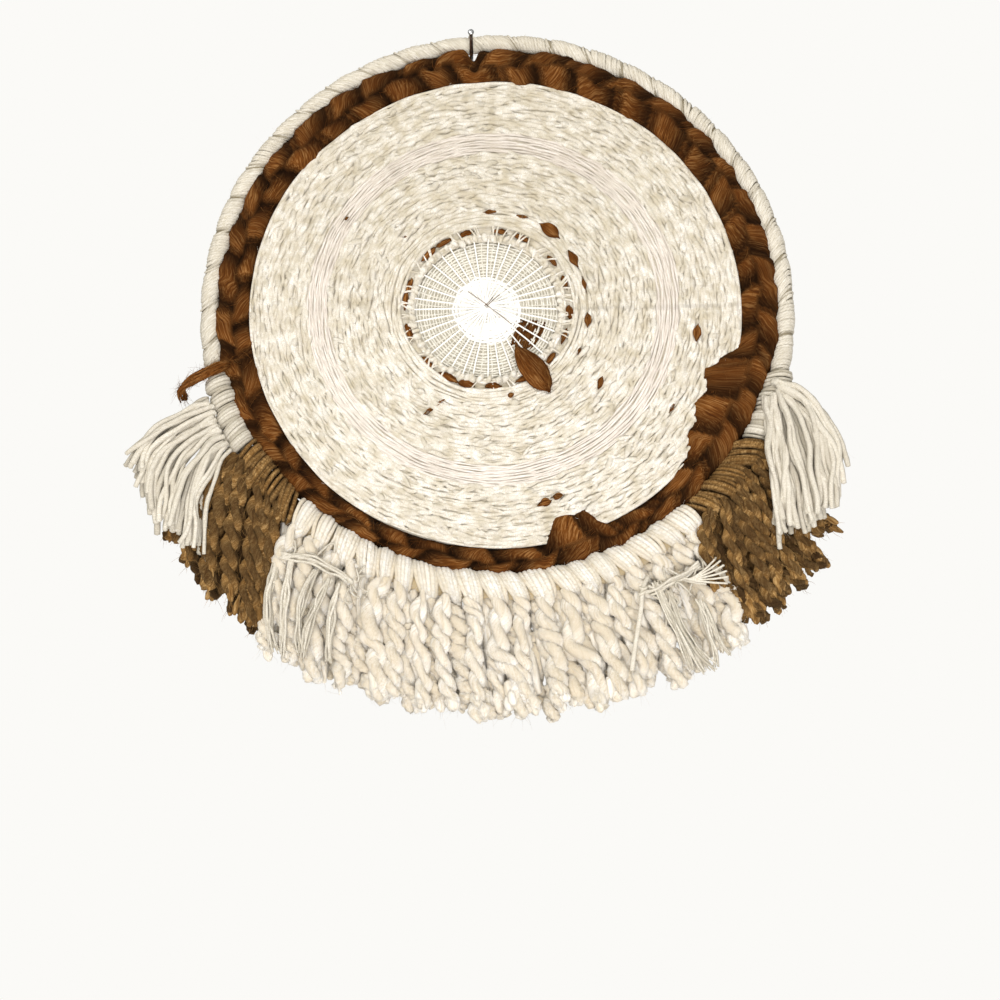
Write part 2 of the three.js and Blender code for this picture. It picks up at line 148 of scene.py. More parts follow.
def sweep(paths, radius, sides, reference=(0, 1, 0), flat=1, turn=0, closed=False, lay=0, shade=1, offset=0):
    # tubes along many paths at once: lay turns the fibres, in radians a millimetre, and shade runs from 0,
    # which is dark, to 1
    paths = np.asarray(paths, float)
    count, stations = paths.shape[:2]
    ahead, across, out = framesOf(paths, reference, closed)
    along = lengthsOf(paths)
    radius = np.broadcast_to(radius, (count, stations))[..., None]
    turn = np.broadcast_to(turn, (count, stations))[..., None]
    side = (2 * np.pi / sides * np.arange(sides))[None, None, :]
    wide, deep = np.cos(side), flat * np.sin(side)
    x = wide * np.cos(turn) - deep * np.sin(turn)
    y = wide * np.sin(turn) + deep * np.cos(turn)
    radial = x[..., None] * across[:, :, None, :] + y[..., None] * out[:, :, None, :]
    own = np.arange(count)[:, None, None] * 31.7 + offset  # so no two yarns have the same streaks
    fibre = np.stack(np.broadcast_arrays(
        along[..., None] + own,
        radius * np.cos(side + lay * along[..., None]),
        radius * np.sin(side + lay * along[..., None]) + own * 0.37), axis=-1)
    if np.ndim(shade) < 3:
        shade = np.broadcast_to(shade, (count, stations))[..., None]
    shades = np.broadcast_to(np.asarray(shade, float), (count, stations, sides))
    start = (np.arange(count) * stations * sides)[:, None, None]
    part = {
        "points": (paths[:, :, None, :] + radius[..., None] * radial).reshape(-1, 3),
        "fibre": fibre.reshape(-1, 3), "shade": shades.reshape(-1), "out": unit(radial).reshape(-1, 3),
        "ahead": np.broadcast_to(ahead[:, :, None, :], radial.shape).reshape(-1, 3),
        "quads": (start + netQuads(stations if closed else stations - 1, stations, sides)).reshape(-1, 4),
        "triangles": np.zeros((0, 3), int),
    }
    if closed:
        return part
    if sides == 3:
        first = start[:, 0] + np.arange(3)
        part["triangles"] = np.concatenate([first[:, ::-1], first + (stations - 1) * sides])
        return part
    # a low point closes each end
    for station, sense in ((0, -1), (stations - 1, 1)):
        ring = start[:, 0] + station * sides + np.arange(sides)
        tip = len(part["points"]) + np.arange(count)[:, None]
        fan = np.stack(np.broadcast_arrays(ring, np.roll(ring, -sense, 1), tip), axis=-1).reshape(-1, 3)
        onward = ahead[:, station]
        end = {"points": paths[:, station] + sense * onward * radius[:, station] * 0.35,
               "fibre": fibre[:, station, 0], "shade": shades[:, station, 0], "out": sense * onward,
               "ahead": onward, "quads": part["quads"][:0], "triangles": fan}
        part = {key: np.concatenate([rows, end[key]]) for key, rows in part.items()}
    return part


def joinParts(parts):
    joined = {key: [] for key in parts[0]}
    start = 0
    for part in parts:
        for key, rows in part.items():
            joined[key].append(rows + start if key in ("quads", "triangles") else rows)
        start += len(part["points"])
    return {key: np.concatenate(rows) for key, rows in joined.items()}


def gridPart(points, shade=1):
    # a closed skin from a grid of points (rows, columns, 3), whose rows and columns both close on themselves
    rows, columns = points.shape[:2]
    skin = points.reshape(-1, 3)
    shades = np.broadcast_to(shade, (rows, columns)).reshape(-1).astype(float)
    out, ahead = [np.broadcast_to(way, skin.shape) for way in ((0.0, -1.0, 0.0), (1.0, 0.0, 0.0))]
    return {"points": skin, "fibre": skin, "shade": shades, "out": out, "ahead": ahead,
            "quads": netQuads(rows, rows, columns), "triangles": np.zeros((0, 3), int)}


def strayFibres(part, count, length, lift, thickness, seed, side=0.5, shade=1, joints=3):
    # loose hairs that leave a yarn's surface along its own direction and curl back to it
    dice = np.random.default_rng(seed)
    pick = dice.integers(0, len(part["points"]), count)
    root, out, ahead = part["points"][pick], part["out"][pick], part["ahead"][pick]
    aside = unit(np.cross(out, ahead))
    heading = unit(ahead * dice.choice([-1, 1], (count, 1)) + aside * dice.normal(0, side, (count, 1)))
    reach = length * dice.uniform(0.4, 1, (count, 1, 1))
    step = np.linspace(0, 1, joints)[None, :, None]
    rise = lift * dice.uniform(0.3, 1, (count, 1, 1))
    curl = dice.normal(0, 0.35, (count, 1, 1)) * reach
    paths = root[:, None] + heading[:, None] * reach * step + out[:, None] * rise * step * (1.6 - step)
    paths = paths + aside[:, None] * curl * step ** 2
    return sweep(paths, thickness * (1 - 0.7 * step[..., 0]), 3, reference=aside[:, None] + 0.01, shade=shade)


def roughen(part, amount, size, seed=0, stretch=0):
    # wool's uneven skin: each point moves outwards or inwards; stretch draws the lumps out along the fibres
    dice = np.random.default_rng(seed)
    ways = unit(dice.normal(0, 1, (6, 3)))
    places = part["fibre"] * (1 / stretch, 1, 1) if stretch else part["points"]
    height = sum(waver(places @ way / (size * (0.7 + 0.15 * n)), seed + n) for n, way in enumerate(ways))
    return {**part, "points": part["points"] + part["out"] * (amount * height / 2)[:, None]}


def locks(paths, thickness, flat=0.6, sides=6, seed=0, shade=None, ends=0.12, lay=0):
    # tapered bundles of fibre, thickest at their middle; unless a shade is given, their ends get painted
    # shade
    along = np.linspace(0, 1, paths.shape[1])[None, :]
    swell = ends + (1 - ends) * np.sin(np.pi * along) ** 0.6
    size = thickness * (1 + 0.18 * waver(along * 3 + 0.7, seed + np.arange(len(paths))[:, None]))
    if shade is None:
        shade = 0.35 + 0.65 * np.sin(np.pi * along) ** 0.5
    return sweep(paths, size * swell, sides, flat=flat, shade=shade, lay=lay)


def makePiece(name, parts, material, stands=()):
    # one mesh from many parts, riding on the object's only body
    part = joinParts(parts)
    mesh = bpy.data.meshes.new(name)
    mesh.vertices.add(len(part["points"]))
    mesh.vertices.foreach_set("co", (part["points"] * 0.001).astype(np.float32).ravel())
    corners = np.concatenate([part["quads"].ravel(), part["triangles"].ravel()]).astype(np.int32)
    mesh.loops.add(len(corners))
    mesh.loops.foreach_set("vertex_index", corners)
    quads, triangles = len(part["quads"]), len(part["triangles"])
    starts = np.concatenate([np.arange(quads) * 4, quads * 4 + np.arange(triangles) * 3]).astype(np.int32)
    mesh.polygons.add(len(starts))
    mesh.polygons.foreach_set("loop_start", starts)
    mesh.update(calc_edges=True)
    mesh.validate()
    mesh.polygons.foreach_set("use_smooth", np.ones(len(mesh.polygons), bool))
    for key, kind, field in (("fibre", "FLOAT_VECTOR", "vector"), ("shade", "FLOAT", "value")):
        mesh.attributes.new(key, kind, "POINT")
        mesh.attributes[key].data.foreach_set(field, part[key].astype(np.float32).ravel())
    mesh.materials.append(material)
    piece = bpy.data.objects.new(name, mesh)
    bpy.context.scene.collection.objects.link(piece)
    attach(piece, "root")
    if stands:
        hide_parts(*stands)
    print(f"{name}: {2 * quads + triangles} triangles")
    return piece


# materials

def fromHex(text):
    # an sRGB hex colour as linear red, green, blue and a full alpha
    values = [int(text[i:i + 2], 16) / 255 for i in (1, 3, 5)]
    return (*[v / 12.92 if v <= 0.04045 else ((v + 0.055) / 1.055) ** 2.4 for v in values], 1)


def emptyTree(owner):
    # the node tree of a new material or world, without its first nodes
    owner.use_nodes = True
    owner.node_tree.nodes.clear()
    return owner.node_tree


def addNode(tree, kind, settings={}, links={}):
    # a node with its settings, which are inputs or properties by name, and its links, each from an output or
    # from a node's first one; stops are a ramp's colours
    node = tree.nodes.new(kind)
    for key, value in settings.items():
        if key == "stops":
            ramp = node.color_ramp
            while len(ramp.elements) < len(value):
                ramp.elements.new(0.5)
            for element, (position, colour) in zip(ramp.elements, value):
                element.position = position
                element.color = colour
        elif isinstance(key, int) or key in node.inputs:
            node.inputs[key].default_value = value
        else:
            setattr(node, key, value)
    for key, source in links.items():
        tree.links.new(getattr(source, "outputs", [source])[0], node.inputs[key])
    return node


def drawnNoise(tree, source, scale, settings):
    # noise drawn out by its own scale along each axis, as fibres and scratches are
    scaled = addNode(tree, "ShaderNodeVectorMath", {"operation": "MULTIPLY", 1: scale}, {0: source})
    return addNode(tree, "ShaderNodeTexNoise", {"Scale": 1.0, **settings}, {"Vector": scaled})


def woolMaterial(name, tones, patchMm, patchShare, streakMm, bump, fineBump, roughness, sheen, gloss=0.15,
                 through=0.0):
    # spun or combed wool: fibre streaks along the yarn, patches of tone, painted shade in creases by the
    # shade attribute, and a soft sheen
    deep, body, light, patch, creaseShade = [fromHex(tone) for tone in tones.split()]
    material = bpy.data.materials.new(name)
    tree = emptyTree(material)
    fibre = addNode(tree, "ShaderNodeAttribute", {"attribute_name": "fibre"})
    shade = addNode(tree, "ShaderNodeAttribute", {"attribute_name": "shade"})
    place = addNode(tree, "ShaderNodeTexCoord")
    long, wide = streakMm
    streaks = drawnNoise(tree, fibre.outputs["Vector"], (1 / long, 1 / wide, 1 / wide),
                         {"Detail": 3.0, "Roughness": 0.62})
    tone = addNode(tree, "ShaderNodeValToRGB", {"stops": [(0.34, deep), (0.5, body), (0.66, light)]},
                   {"Fac": streaks})
    patches = addNode(tree, "ShaderNodeTexNoise", {"Scale": 1000 / patchMm, "Detail": 2.0},
                      {"Vector": place.outputs["Object"]})
    spread = addNode(tree, "ShaderNodeMapRange", {"From Min": 0.35, "From Max": 0.7, "To Max": patchShare},
                     {"Value": patches})
    patched = addNode(tree, "ShaderNodeMix", {"data_type": "RGBA", 7: patch}, {0: spread, 6: tone})
    # painted shade: the shade attribute mixes in the crease colour, fully where it is 0
    creaseShaded = addNode(tree, "ShaderNodeMix", {"data_type": "RGBA", 6: creaseShade},
                      {0: shade.outputs["Fac"], 7: patched.outputs[2]})
    hairs = drawnNoise(tree, fibre.outputs["Vector"], (0.5, 5.0, 5.0), {"Detail": 2.0, "Roughness": 0.6})
    coarse = addNode(tree, "ShaderNodeBump", {"Strength": bump, "Distance": 0.0006}, {"Height": streaks})
    fine = addNode(tree, "ShaderNodeBump", {"Strength": fineBump, "Distance": 0.0003},
                   {"Height": hairs, "Normal": coarse})
    shader = addNode(tree, "ShaderNodeBsdfPrincipled", {
        "Roughness": roughness, "Specular IOR Level": gloss, "Sheen Weight": sheen, "Sheen Roughness": 0.55,
        "Sheen Tint": light, "Subsurface Weight": through, "Subsurface Radius": (1.0, 0.92, 0.8),
        "Subsurface Scale": 0.002}, {"Base Color": creaseShaded.outputs[2], "Normal": fine})
    addNode(tree, "ShaderNodeOutputMaterial", {}, {"Surface": shader})
    return material


def drawnSteel(name, deep, light):
    # bright wire drawn through a die: long fine scratches and a few dull spots
    material = bpy.data.materials.new(name)
    tree = emptyTree(material)
    place = addNode(tree, "ShaderNodeTexCoord")
    scratches = drawnNoise(tree, place.outputs["Object"], (2500.0, 150.0, 2500.0), {"Detail": 3.0})
    tone = addNode(tree, "ShaderNodeValToRGB", {"stops": [(0.3, fromHex(deep)), (0.7, fromHex(light))]},
                   {"Fac": scratches})
    gloss = addNode(tree, "ShaderNodeMapRange", {"To Min": 0.22, "To Max": 0.42}, {"Value": scratches})
    bump = addNode(tree, "ShaderNodeBump", {"Strength": 0.15, "Distance": 0.0001}, {"Height": scratches})
    shader = addNode(tree, "ShaderNodeBsdfPrincipled", {"Metallic": 1.0},
                     {"Base Color": tone, "Roughness": gloss, "Normal": bump})
    addNode(tree, "ShaderNodeOutputMaterial", {}, {"Surface": shader})
    return material


# the tones of each wool are deep, body, light, patch and the colour of its painted shade in creases
# combed wool roving, never spun: long loose fibres, with painted shade that makes it dark in its folds, and
# pale streaks along its locks
combedRoving = woolMaterial(
    "combed_brown_roving", "#4b280e #724319 #a37645 #552e0f #0c0401", patchMm=14, patchShare=0.6,
    streakMm=(7, 0.6), bump=0.6, fineBump=0.4, roughness=0.9, sheen=0.05, gloss=0.05)
# two-ply wool cord, softly twisted: a greyer brown than the roving, with pale raised fibres on each ply
pliedBrown = woolMaterial(
    "plied_brown_wool", "#65431d #94703e #caa46c #785428 #231203", patchMm=18, patchShare=0.5,
    streakMm=(9, 0.9), bump=0.9, fineBump=0.6, roughness=0.9, sheen=0.2)
# smooth spun wool yarn, undyed: an even matt cream with thin twist lines
spunCream = woolMaterial(
    "spun_cream_wool", "#bfb6a1 #d5cebf #ece7db #cac2b0 #75694e", patchMm=25, patchShare=0.4,
    streakMm=(5, 0.4), bump=0.5, fineBump=0.45, roughness=0.92, sheen=0.2)
# chunky two-ply wool cord, undyed: warm cream and fluffy, with painted shade that turns beige in its folds
pliedCream = woolMaterial(
    "plied_cream_wool", "#d4cbb8 #f0ebe1 #fefdf9 #e2dacb #b8a47c", patchMm=15, patchShare=0.7,
    streakMm=(11, 1.1), bump=1.0, fineBump=0.8, roughness=0.93, sheen=0.35, through=0.3)
# hand-spun slub wool, woven: bright thick places and greyish thin ones, so the face looks mottled
slubWeft = woolMaterial(
    "handspun_slub_weft", "#d6cdba #ece6da #fdfcf8 #c2b69b #aa9e82", patchMm=7, patchShare=0.8,
    streakMm=(4, 0.5), bump=0.7, fineBump=0.6, roughness=0.92, sheen=0.2)
# fine single wool, beaten close: a flatter band, a little pink and grey against the slub
fineWeft = woolMaterial(
    "fine_single_weft", "#cfc5b8 #e2dad0 #f3eee6 #d0c6b9 #a69a86", patchMm=12, patchShare=0.5,
    streakMm=(5, 0.35), bump=0.5, fineBump=0.5, roughness=0.9, sheen=0.15)
# hard-twisted cotton warp: smooth off-white thread with a tight twist
warpCotton = woolMaterial(
    "twisted_cotton_warp", "#d6d0c1 #e8e4d8 #f8f6ef #ddd7c9 #a39b87", patchMm=10, patchShare=0.3,
    streakMm=(1.6, 0.35), bump=0.5, fineBump=0.35, roughness=0.8, sheen=0.1)
# bleached cotton thread: the brightest white of all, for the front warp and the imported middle
bleachedCotton = woolMaterial(
    "bleached_cotton_thread", "#efece3 #f8f6f0 #fefdfa #f1eee6 #c9c3b4", patchMm=8, patchShare=0.3,
    streakMm=(1.6, 0.35), bump=0.4, fineBump=0.3, roughness=0.85, sheen=0.1)
# drawn steel wire nail: bright, with scratches along it
nailSteel = drawnSteel("drawn_bright_steel", deep="#8d8f92", light="#d6d8da")
print("materials ready")


# nail: it slopes up towards the room, and the hoop hangs on it

nail = {"radius": 1.05, "head": 1.6, "headLength": 1.4, "out": 29.5, "inWall": 14, "point": 3.1, "slope": 10,
        "sides": 40}


def makeNail(look):
    out, inWall, radius, head = look["out"], look["inWall"], look["radius"], look["head"]
    neck = out - look["headLength"]
    profile = [  # the distance along the nail from the wall, and the radius there
        (-inWall, 0.05), (-inWall + look["point"], radius), (0, radius), (neck - 4, radius),
        (neck - 3.6, radius * 1.05), (neck - 3.2, radius), (neck, radius), (neck + 0.1, head * 0.9),
        (neck + 0.4, head), (out - 0.5, head), (out - 0.15, head * 0.9), (out, head * 0.6)]
    slope = math.radians(look["slope"])
    axis = np.array([0, -math.cos(slope), math.sin(slope)])
    path = np.array([[axis * along for along, size in profile]])
    sizes = np.array([[size for along, size in profile]])
    return sweep(path, sizes, look["sides"], reference=(1, 0, 0))


makePiece("nail_bright", [makeNail(nail)], nailSteel, ["nail"])


# hoop: a ring wound with yarn, which swells between the loops of the warp

wrap = {"from": -14.4, "to": 195.2, "bumps": 27, "pitch": 1.5, "tube": 4.8, "yarn": 1.05, "waist": 0.7,
        "steps": 11, "lean": 3.0, "loopYarn": 0.6, "loopLean": 3.4, "hairs": 420}


def makeWrap(look):
    length = math.radians(look["to"] - look["from"]) * hoop["radius"]
    turns = int(length / look["pitch"])
    phase = np.linspace(0, turns * 2 * np.pi, turns * look["steps"])[None, :]
    share = phase / phase[0, -1]
    bump = share * look["bumps"]
    inBump = bump - np.floor(bump)
    swell = look["waist"] + (1 - look["waist"]) * np.sin(np.pi * inBump) ** 0.4
    swell = swell * (1 + 0.05 * waver(bump, 3) + 0.035 * waver(share * turns * 2, 5))
    tube = look["tube"] * swell - 0.5 * look["yarn"] + 0.9 * swell * np.clip(np.cos(phase + 2.6), 0, 1)
    lean = look["lean"] * (1 + 0.7 * waver(np.floor(bump) + easeIn(0.7, 1, inBump), 7))
    along = share * length + lean * np.cos(phase + 0.6) + 0.45 * waver(phase / 6.283, 9)
    degrees = look["from"] + np.degrees(along / hoop["radius"])
    # painted shade: each bulge darkens towards its two waists and never reaches full brightness
    tone = blendTo(0.0, 0.93, easeIn(0, 0.13, inBump) * easeIn(1, 0.89, inBump))
    return sweep(roundTube(tube, phase, degrees), look["yarn"] * (1 + 0.2 * waver(phase / 9, 11)), 5,
                 reference=ringTangent(degrees), flat=0.55, turn=math.pi / 2,
                 shade=tone * (0.93 + 0.07 * waver(phase / 4, 13)), lay=1.6)


def makeWarpLoops(look):
    # one thread of the warp crosses the wrapping at each waist, on the slant
    parts = []
    phase = np.linspace(0, 2 * np.pi, 19)[None, :-1]
    for loop in range(look["bumps"]):
        at = look["from"] + (look["to"] - look["from"]) * (loop + 0.02) / look["bumps"]
        tube = look["tube"] * (0.84 + 0.03 * hashed(loop, 2))
        along = look["loopLean"] * np.cos(phase + 0.5 + 0.3 * hashed(loop, 4))
        degrees = at + np.degrees(along / hoop["radius"])
        path = roundTube(tube, phase, degrees)
        parts.append(sweep(path, look["loopYarn"], 5, reference=ringTangent(degrees), closed=True, shade=0.8,
                           lay=1.6, offset=loop * 11))
    return parts


def makeCore(look):
    # the wrapping's own core: the bare ring all the way round, and packed yarn where it shows; it is dark
    # with painted shade
    degrees = np.linspace(0, 360, 180, endpoint=False)
    shown = (degrees < 194) | (degrees > 347.5)
    size = np.where(shown, look["tube"] * 0.7, hoop["bare"])
    path = onRing(hoop["radius"], degrees, hoopMiddle[1])
    return sweep(path[None], size[None], 10, closed=True, shade=0.15)


wrapPart = makeWrap(wrap)
wrapHairs = strayFibres(wrapPart, wrap["hairs"], length=4, lift=0.9, thickness=0.05, seed=31)
makePiece("hoop_wrapping", [wrapPart, *makeWarpLoops(wrap), makeCore(wrap), wrapHairs], spunCream,
          ["hoop_wrapped"])


# border: one rope of combed roving, nipped into lumps by the warp

knotRows = {  # where each row of knots starts and ends round the hoop, in degrees, its knots and their radius
    "tassel_left": {"from": 195.2, "to": 210.6, "knots": 5, "radius": 7},
    "fringe_brown_left": {"from": 211.4, "to": 226.6, "knots": 4, "radius": 8.4},
    "fringe_cream": {"from": 227.4, "to": 311.6, "knots": 19, "radius": 9.3},
    "fringe_brown_right": {"from": 312.4, "to": 330.2, "knots": 5, "radius": 8.4},
    "tassel_right": {"from": 331, "to": 345.6, "knots": 4, "radius": 7},
}
# the radius by angle where the weave ends and the roving starts, and the same without the roving that lies
# over the weave at lower right
edgeRows = [(0, 123.4), (60, 122.2), (90, 121.6), (120, 122.6), (180, 125.2), (240, 126), (279, 126),
            (285, 117.6), (290, 117.2), (296, 125.6), (312, 126), (321, 121.6), (329, 115.4), (342, 112.4),
            (349, 122), (360, 123.4)]
rimRows = [*edgeRows[:6], (300, 125.8), (335, 124.2), (360, 123.4)]
edgeAngles, edgeRadii = [np.array(column, float) for column in zip(*edgeRows)]
rimAngles, rimRadii = [np.array(column, float) for column in zip(*rimRows)]


def wovenEdge(degrees):
    degrees = np.mod(degrees, 360)
    low = np.clip(np.searchsorted(edgeAngles, degrees, side="right") - 1, 0, len(edgeAngles) - 2)
    share = easeIn(0, 1, (degrees - edgeAngles[low]) / (edgeAngles[low + 1] - edgeAngles[low]))
    return blendTo(edgeRadii[low], edgeRadii[low + 1], share)


def wovenRim(degrees):
    return np.interp(np.mod(degrees, 360), rimAngles, rimRadii)


roving = {"halfDepth": 7.2, "lumps": 38, "steps": 780, "sides": 42, "hairs": 1500, "outer": 141.8,
          "nailNotch": 6.5, "nailDegrees": 95.4, "notchWidth": 1.15, "behindInner": 2.8, "behindOuter": 1.8}


def rovingOuter(degrees):
    outer = np.full(np.shape(degrees), roving["outer"])
    for row in knotRows.values():
        low, high = row["from"], row["to"]
        blend = easeIn(low - 2, low + 0.5, degrees) * easeIn(high + 2, high - 0.5, degrees)
        outer = np.minimum(outer, blendTo(roving["outer"], hoop["radius"] - row["radius"] + 1.6, blend))
    # the roving gives way to the nail
    notch = np.exp(-((degrees - roving["nailDegrees"]) / roving["notchWidth"]) ** 2)
    return outer - roving["nailNotch"] * notch


def puffShape(place, seed, count):
    # rounded lumps along a line: each swells slowly and then drops steeply into the next fold
    place = place + 0.2 * waver(place, seed, count)
    whole = np.floor(place)
    part = place - whole
    size = 0.86 + 0.14 * hashed(np.mod(whole, count), seed + 1)
    return size * easeIn(0, 0.55, part) ** 0.6 * easeIn(1, 0.8, part) ** 0.6


def rovingPoint(degrees, section, swell):
    # a point of the rope's skin: section turns from its outer side to the front
    place = np.mod(degrees, 360)
    inner, outer = wovenEdge(place) - 0.9, rovingOuter(place)
    inner = inner - 3.5 * easeIn(124, 118, inner)
    # its back runs on behind the weave and the knots, so that no light comes through beside it
    behind = easeIn(0.35, -0.5, np.sin(section))
    inner, outer = inner - roving["behindInner"] * behind, outer + roving["behindOuter"] * behind
    centre, half = (inner + outer) / 2, (outer - inner) / 2
    deep = roving["halfDepth"] * (0.85 + 0.15 * half / 7)
    square = (np.abs(np.cos(section)) ** 2.5 + np.abs(np.sin(section)) ** 2.5) ** 0.4
    aside = centre + half * (0.55 + 0.45 * swell) * np.cos(section) / square
    return onRing(aside, place, hoopMiddle[1] - deep * swell * np.sin(section) / square)


def makeRoving(look):
    degrees = np.linspace(0, 360, look["steps"], endpoint=False)[:, None]
    section = np.linspace(0, 2 * np.pi, look["sides"], endpoint=False)[None, :]
    degrees, section = np.broadcast_arrays(degrees, section)
    count = look["lumps"]
    lump = degrees / 360 * count
    # two rows of lumps, the inner one half a lump on from the outer, with a wandering furrow between them
    furrow = 0.1 + 0.3 * waver(lump, 3, count) + 0.15 * waver(lump * 3, 4, count * 3)
    across = np.cos(section)
    lean = 0.25 * across + 0.12 * waver(lump * 2, 6, count * 2)
    outerPlace, innerPlace = lump + lean, lump + 0.5 - 0.8 * lean
    isOuter = easeIn(-0.16, 0.16, across - furrow)
    along = blendTo(puffShape(innerPlace, 17, count), puffShape(outerPlace, 11, count), isOuter)
    groove = np.exp(-((across - furrow) / 0.2) ** 2) * (0.55 + 0.45 * waver(lump * 1.5, 8, count * 3 // 2))
    minor = waver(lump * 3 + 1.4 * across, 21, count * 3)
    dent = np.clip(0.34 * (1 - along) + 0.2 * groove + 0.08 * (0.5 - 0.5 * minor), 0, 0.55)
    dent = dent * blendTo(1, 0.6, easeIn(123, 116, wovenEdge(degrees)))
    back = easeIn(0.1, -0.5, np.sin(section)) * 0.6
    points = rovingPoint(degrees, section, 1.04 - dent * (1 - back))
    # painted shade and highlight: each lump is darkest where it starts and in its dents, and palest on its
    # crest; its tone also varies at random
    place = np.where(isOuter > 0.5, outerPlace, innerPlace)
    whole = np.floor(place)
    within = place - whole
    key = np.mod(whole, count) + 50 * (isOuter > 0.5)
    tone = blendTo(0.2, 1.0, easeIn(0.02, 0.72, within)) * np.clip(1.12 - 2.3 * dent, 0.02, 1)
    tone = tone * (0.92 + 0.1 * waver(lump * 4, 33, count * 4)) * (0.93 + 0.1 * hashed(key, 41))
    part = gridPart(points, shade=np.clip(tone, 0.02, 1))
    tangent = ringTangent(degrees)
    outward = unit(points - onRing(131, degrees, hoopMiddle[1]))
    # the fibres of each lump run their own way and curl a little
    way = 0.9 + 0.9 * hashed(key, 43)
    forth, aside = (within - 0.5) * 21.6, section * 7.3
    first = forth * np.cos(way) + aside * np.sin(way)
    curl = 0.05 * hashed(key, 47) * first ** 2
    other = aside * np.cos(way) - forth * np.sin(way) + curl + 0.5 * waver(first / 3, 49)
    part["fibre"] = np.stack([first + 40 * key, other, 3 * along], -1).reshape(-1, 3)
    part["out"] = outward.reshape(-1, 3)
    beside = np.cross(outward, tangent)
    part["ahead"] = unit(tangent * np.cos(way)[..., None] + beside * np.sin(way)[..., None]).reshape(-1, 3)
    return roughen(roughen(roughen(part, 0.8, 4.2, 4), 0.2, 1.7, 14), 0.5, 1.5, 24, stretch=7)


rovingPart = makeRoving(roving)
rovingHairs = strayFibres(rovingPart, roving["hairs"], length=9, lift=1.6, thickness=0.075, seed=41, side=0.6,
                          joints=4)
makePiece("roving_border", [rovingPart], combedRoving, ["roving_ring"])
makePiece("roving_border_fibres", [rovingHairs], combedRoving)
print("hoop and border ready")


# weaving: a cloth round of about 250 mm with a hole in it, held taut by the warp, its weft wound over and
# under the warp a little off centre

disc = {"hole": 36, "rim": 125, "shiftX": -5.4, "shiftZ": -2.4, "warps": 72, "front": -13.3, "back": -9.3,
        "edge": -11.3}


def onDisc(even, degrees, depth):
    # the place on the weave of a point given by its even radius, from 36 at the hole to 125 at the rim
    share = (even - disc["hole"]) / (disc["rim"] - disc["hole"])
    radius = even + easeIn(92, disc["rim"], even) * (wovenRim(degrees) - disc["rim"])
    under = 3.2 * easeIn(0.2, 2.6, radius - wovenEdge(degrees)) * easeIn(110, 112, radius)
    points = onRing(radius, degrees, depth + under)
    shift = np.broadcast_to(1 - share, points.shape[:-1])
    points[..., 0] += disc["shiftX"] * shift
    points[..., 2] += disc["shiftZ"] * shift
    return points


def allRound(stations):
    # the angles of a closed row
    return np.linspace(0, 360, stations, endpoint=False)[None, :]


def overUnder(degrees, turn=0):
    # 1 where a row passes over a warp thread and -1 where it passes under the next
    return np.cos(np.radians(degrees) * disc["warps"] / 2 + turn)


ground = {"columns": 288, "rows": 46, "relief": 0.24, "rowPitch": 4.8, "grooveDepth": 1.5}


def makeGround(look):
    # the cloth behind the raised yarns: one closed sheet, with the same rows on its back
    even = np.linspace(disc["hole"] + 0.4, disc["rim"] - 0.9, look["rows"])[:, None]
    degrees = allRound(look["columns"])
    row = even / look["rowPitch"]
    weave = overUnder(degrees) * np.cos(np.pi * row)
    ridge = 0.5 + 0.5 * np.cos(2 * np.pi * row)
    relief = look["relief"] * (ridge + 1 + weave + 0.4 * waver(degrees / 5, 2, 72) * waver(even / 4, 8))
    groove = look["grooveDepth"] * easeIn(38.2, 39.8, even) * easeIn(43.4, 41.8, even)
    inward = easeIn(disc["rim"] - 1, disc["rim"] - 5, even) * easeIn(disc["hole"], disc["hole"] + 2.5, even)
    top = onDisc(even, degrees, blendTo(disc["edge"], disc["front"] - relief, inward) + groove)
    under = onDisc(even, degrees, blendTo(disc["edge"], disc["back"] + 0.9 * relief, inward))
    # painted shade: the cloth is darker in the grooves between its ridges and where its rows pass under the
    # warp, on both faces
    raised = ridge * (1 + weave) / 2
    tone = np.concatenate([0.5 + 0.3 * raised, (0.5 + 0.4 * raised)[::-1]])
    return gridPart(np.concatenate([top, under[::-1]]), shade=np.clip(tone, 0, 1))


groundPiece = makePiece("woven_ground", [makeGround(ground)], slubWeft, ["woven_disc"])

weft = {"pitch": 1.36, "yarn": 1.06, "rise": 0.32, "depth": -14.1, "wander": 0.6, "step": 2.0, "slubMm": 6,
        "bumpMm": 2.8}


def weftRow(even, look, number, seed):
    # one row of slub yarn: over one warp thread and under the next, thick and thin by turns
    length = 2 * np.pi * even
    degrees = allRound(int(length / look["step"]))
    slow, fast = [(degrees / 360 * cells, cells) for cells in (int(length / look["slubMm"]),
                                                               int(length / look["bumpMm"]))]
    beat = overUnder(degrees, np.pi * number + 2.4 * waver(slow[0], seed + 4, slow[1]))
    slub = waver(slow[0], seed, slow[1])
    thick = 1 + 0.2 * beat + 0.34 * slub + 0.16 * waver(fast[0], seed + 1, fast[1])
    wander = waver(fast[0], seed + 2, fast[1]) + 0.8 * waver(slow[0], seed + 3, slow[1])
    depth = look["depth"] - look["rise"] * beat - 0.3 * slub - 0.25 * waver(slow[0], seed + 5, slow[1])
    # painted shade where the row passes under a warp thread, and painted light that makes it darker towards
    # the top and paler towards the bottom; thick places are paler too
    tone = 0.66 + 0.22 * easeIn(-0.9, 0.5, beat) + 0.16 * slub - 0.12 * np.sin(np.radians(degrees))
    path = onDisc(even + look["wander"] * wander, degrees, depth)
    return sweep(path, look["yarn"] * np.clip(thick, 0.4, 1.8), 5, flat=0.8, closed=True, lay=1.3, shade=tone,
                 offset=seed * 7.7)


def slubBand(low, high, look, seed):
    count = round((high - low) / look["pitch"])
    return [weftRow(low + (high - low) * (n + 0.5) / count, look, n, seed + n * 6) for n in range(count)]


floats = {"count": 950, "length": (4, 10), "thickness": (0.9, 1.9), "lean": 0.32, "depth": -14.4}


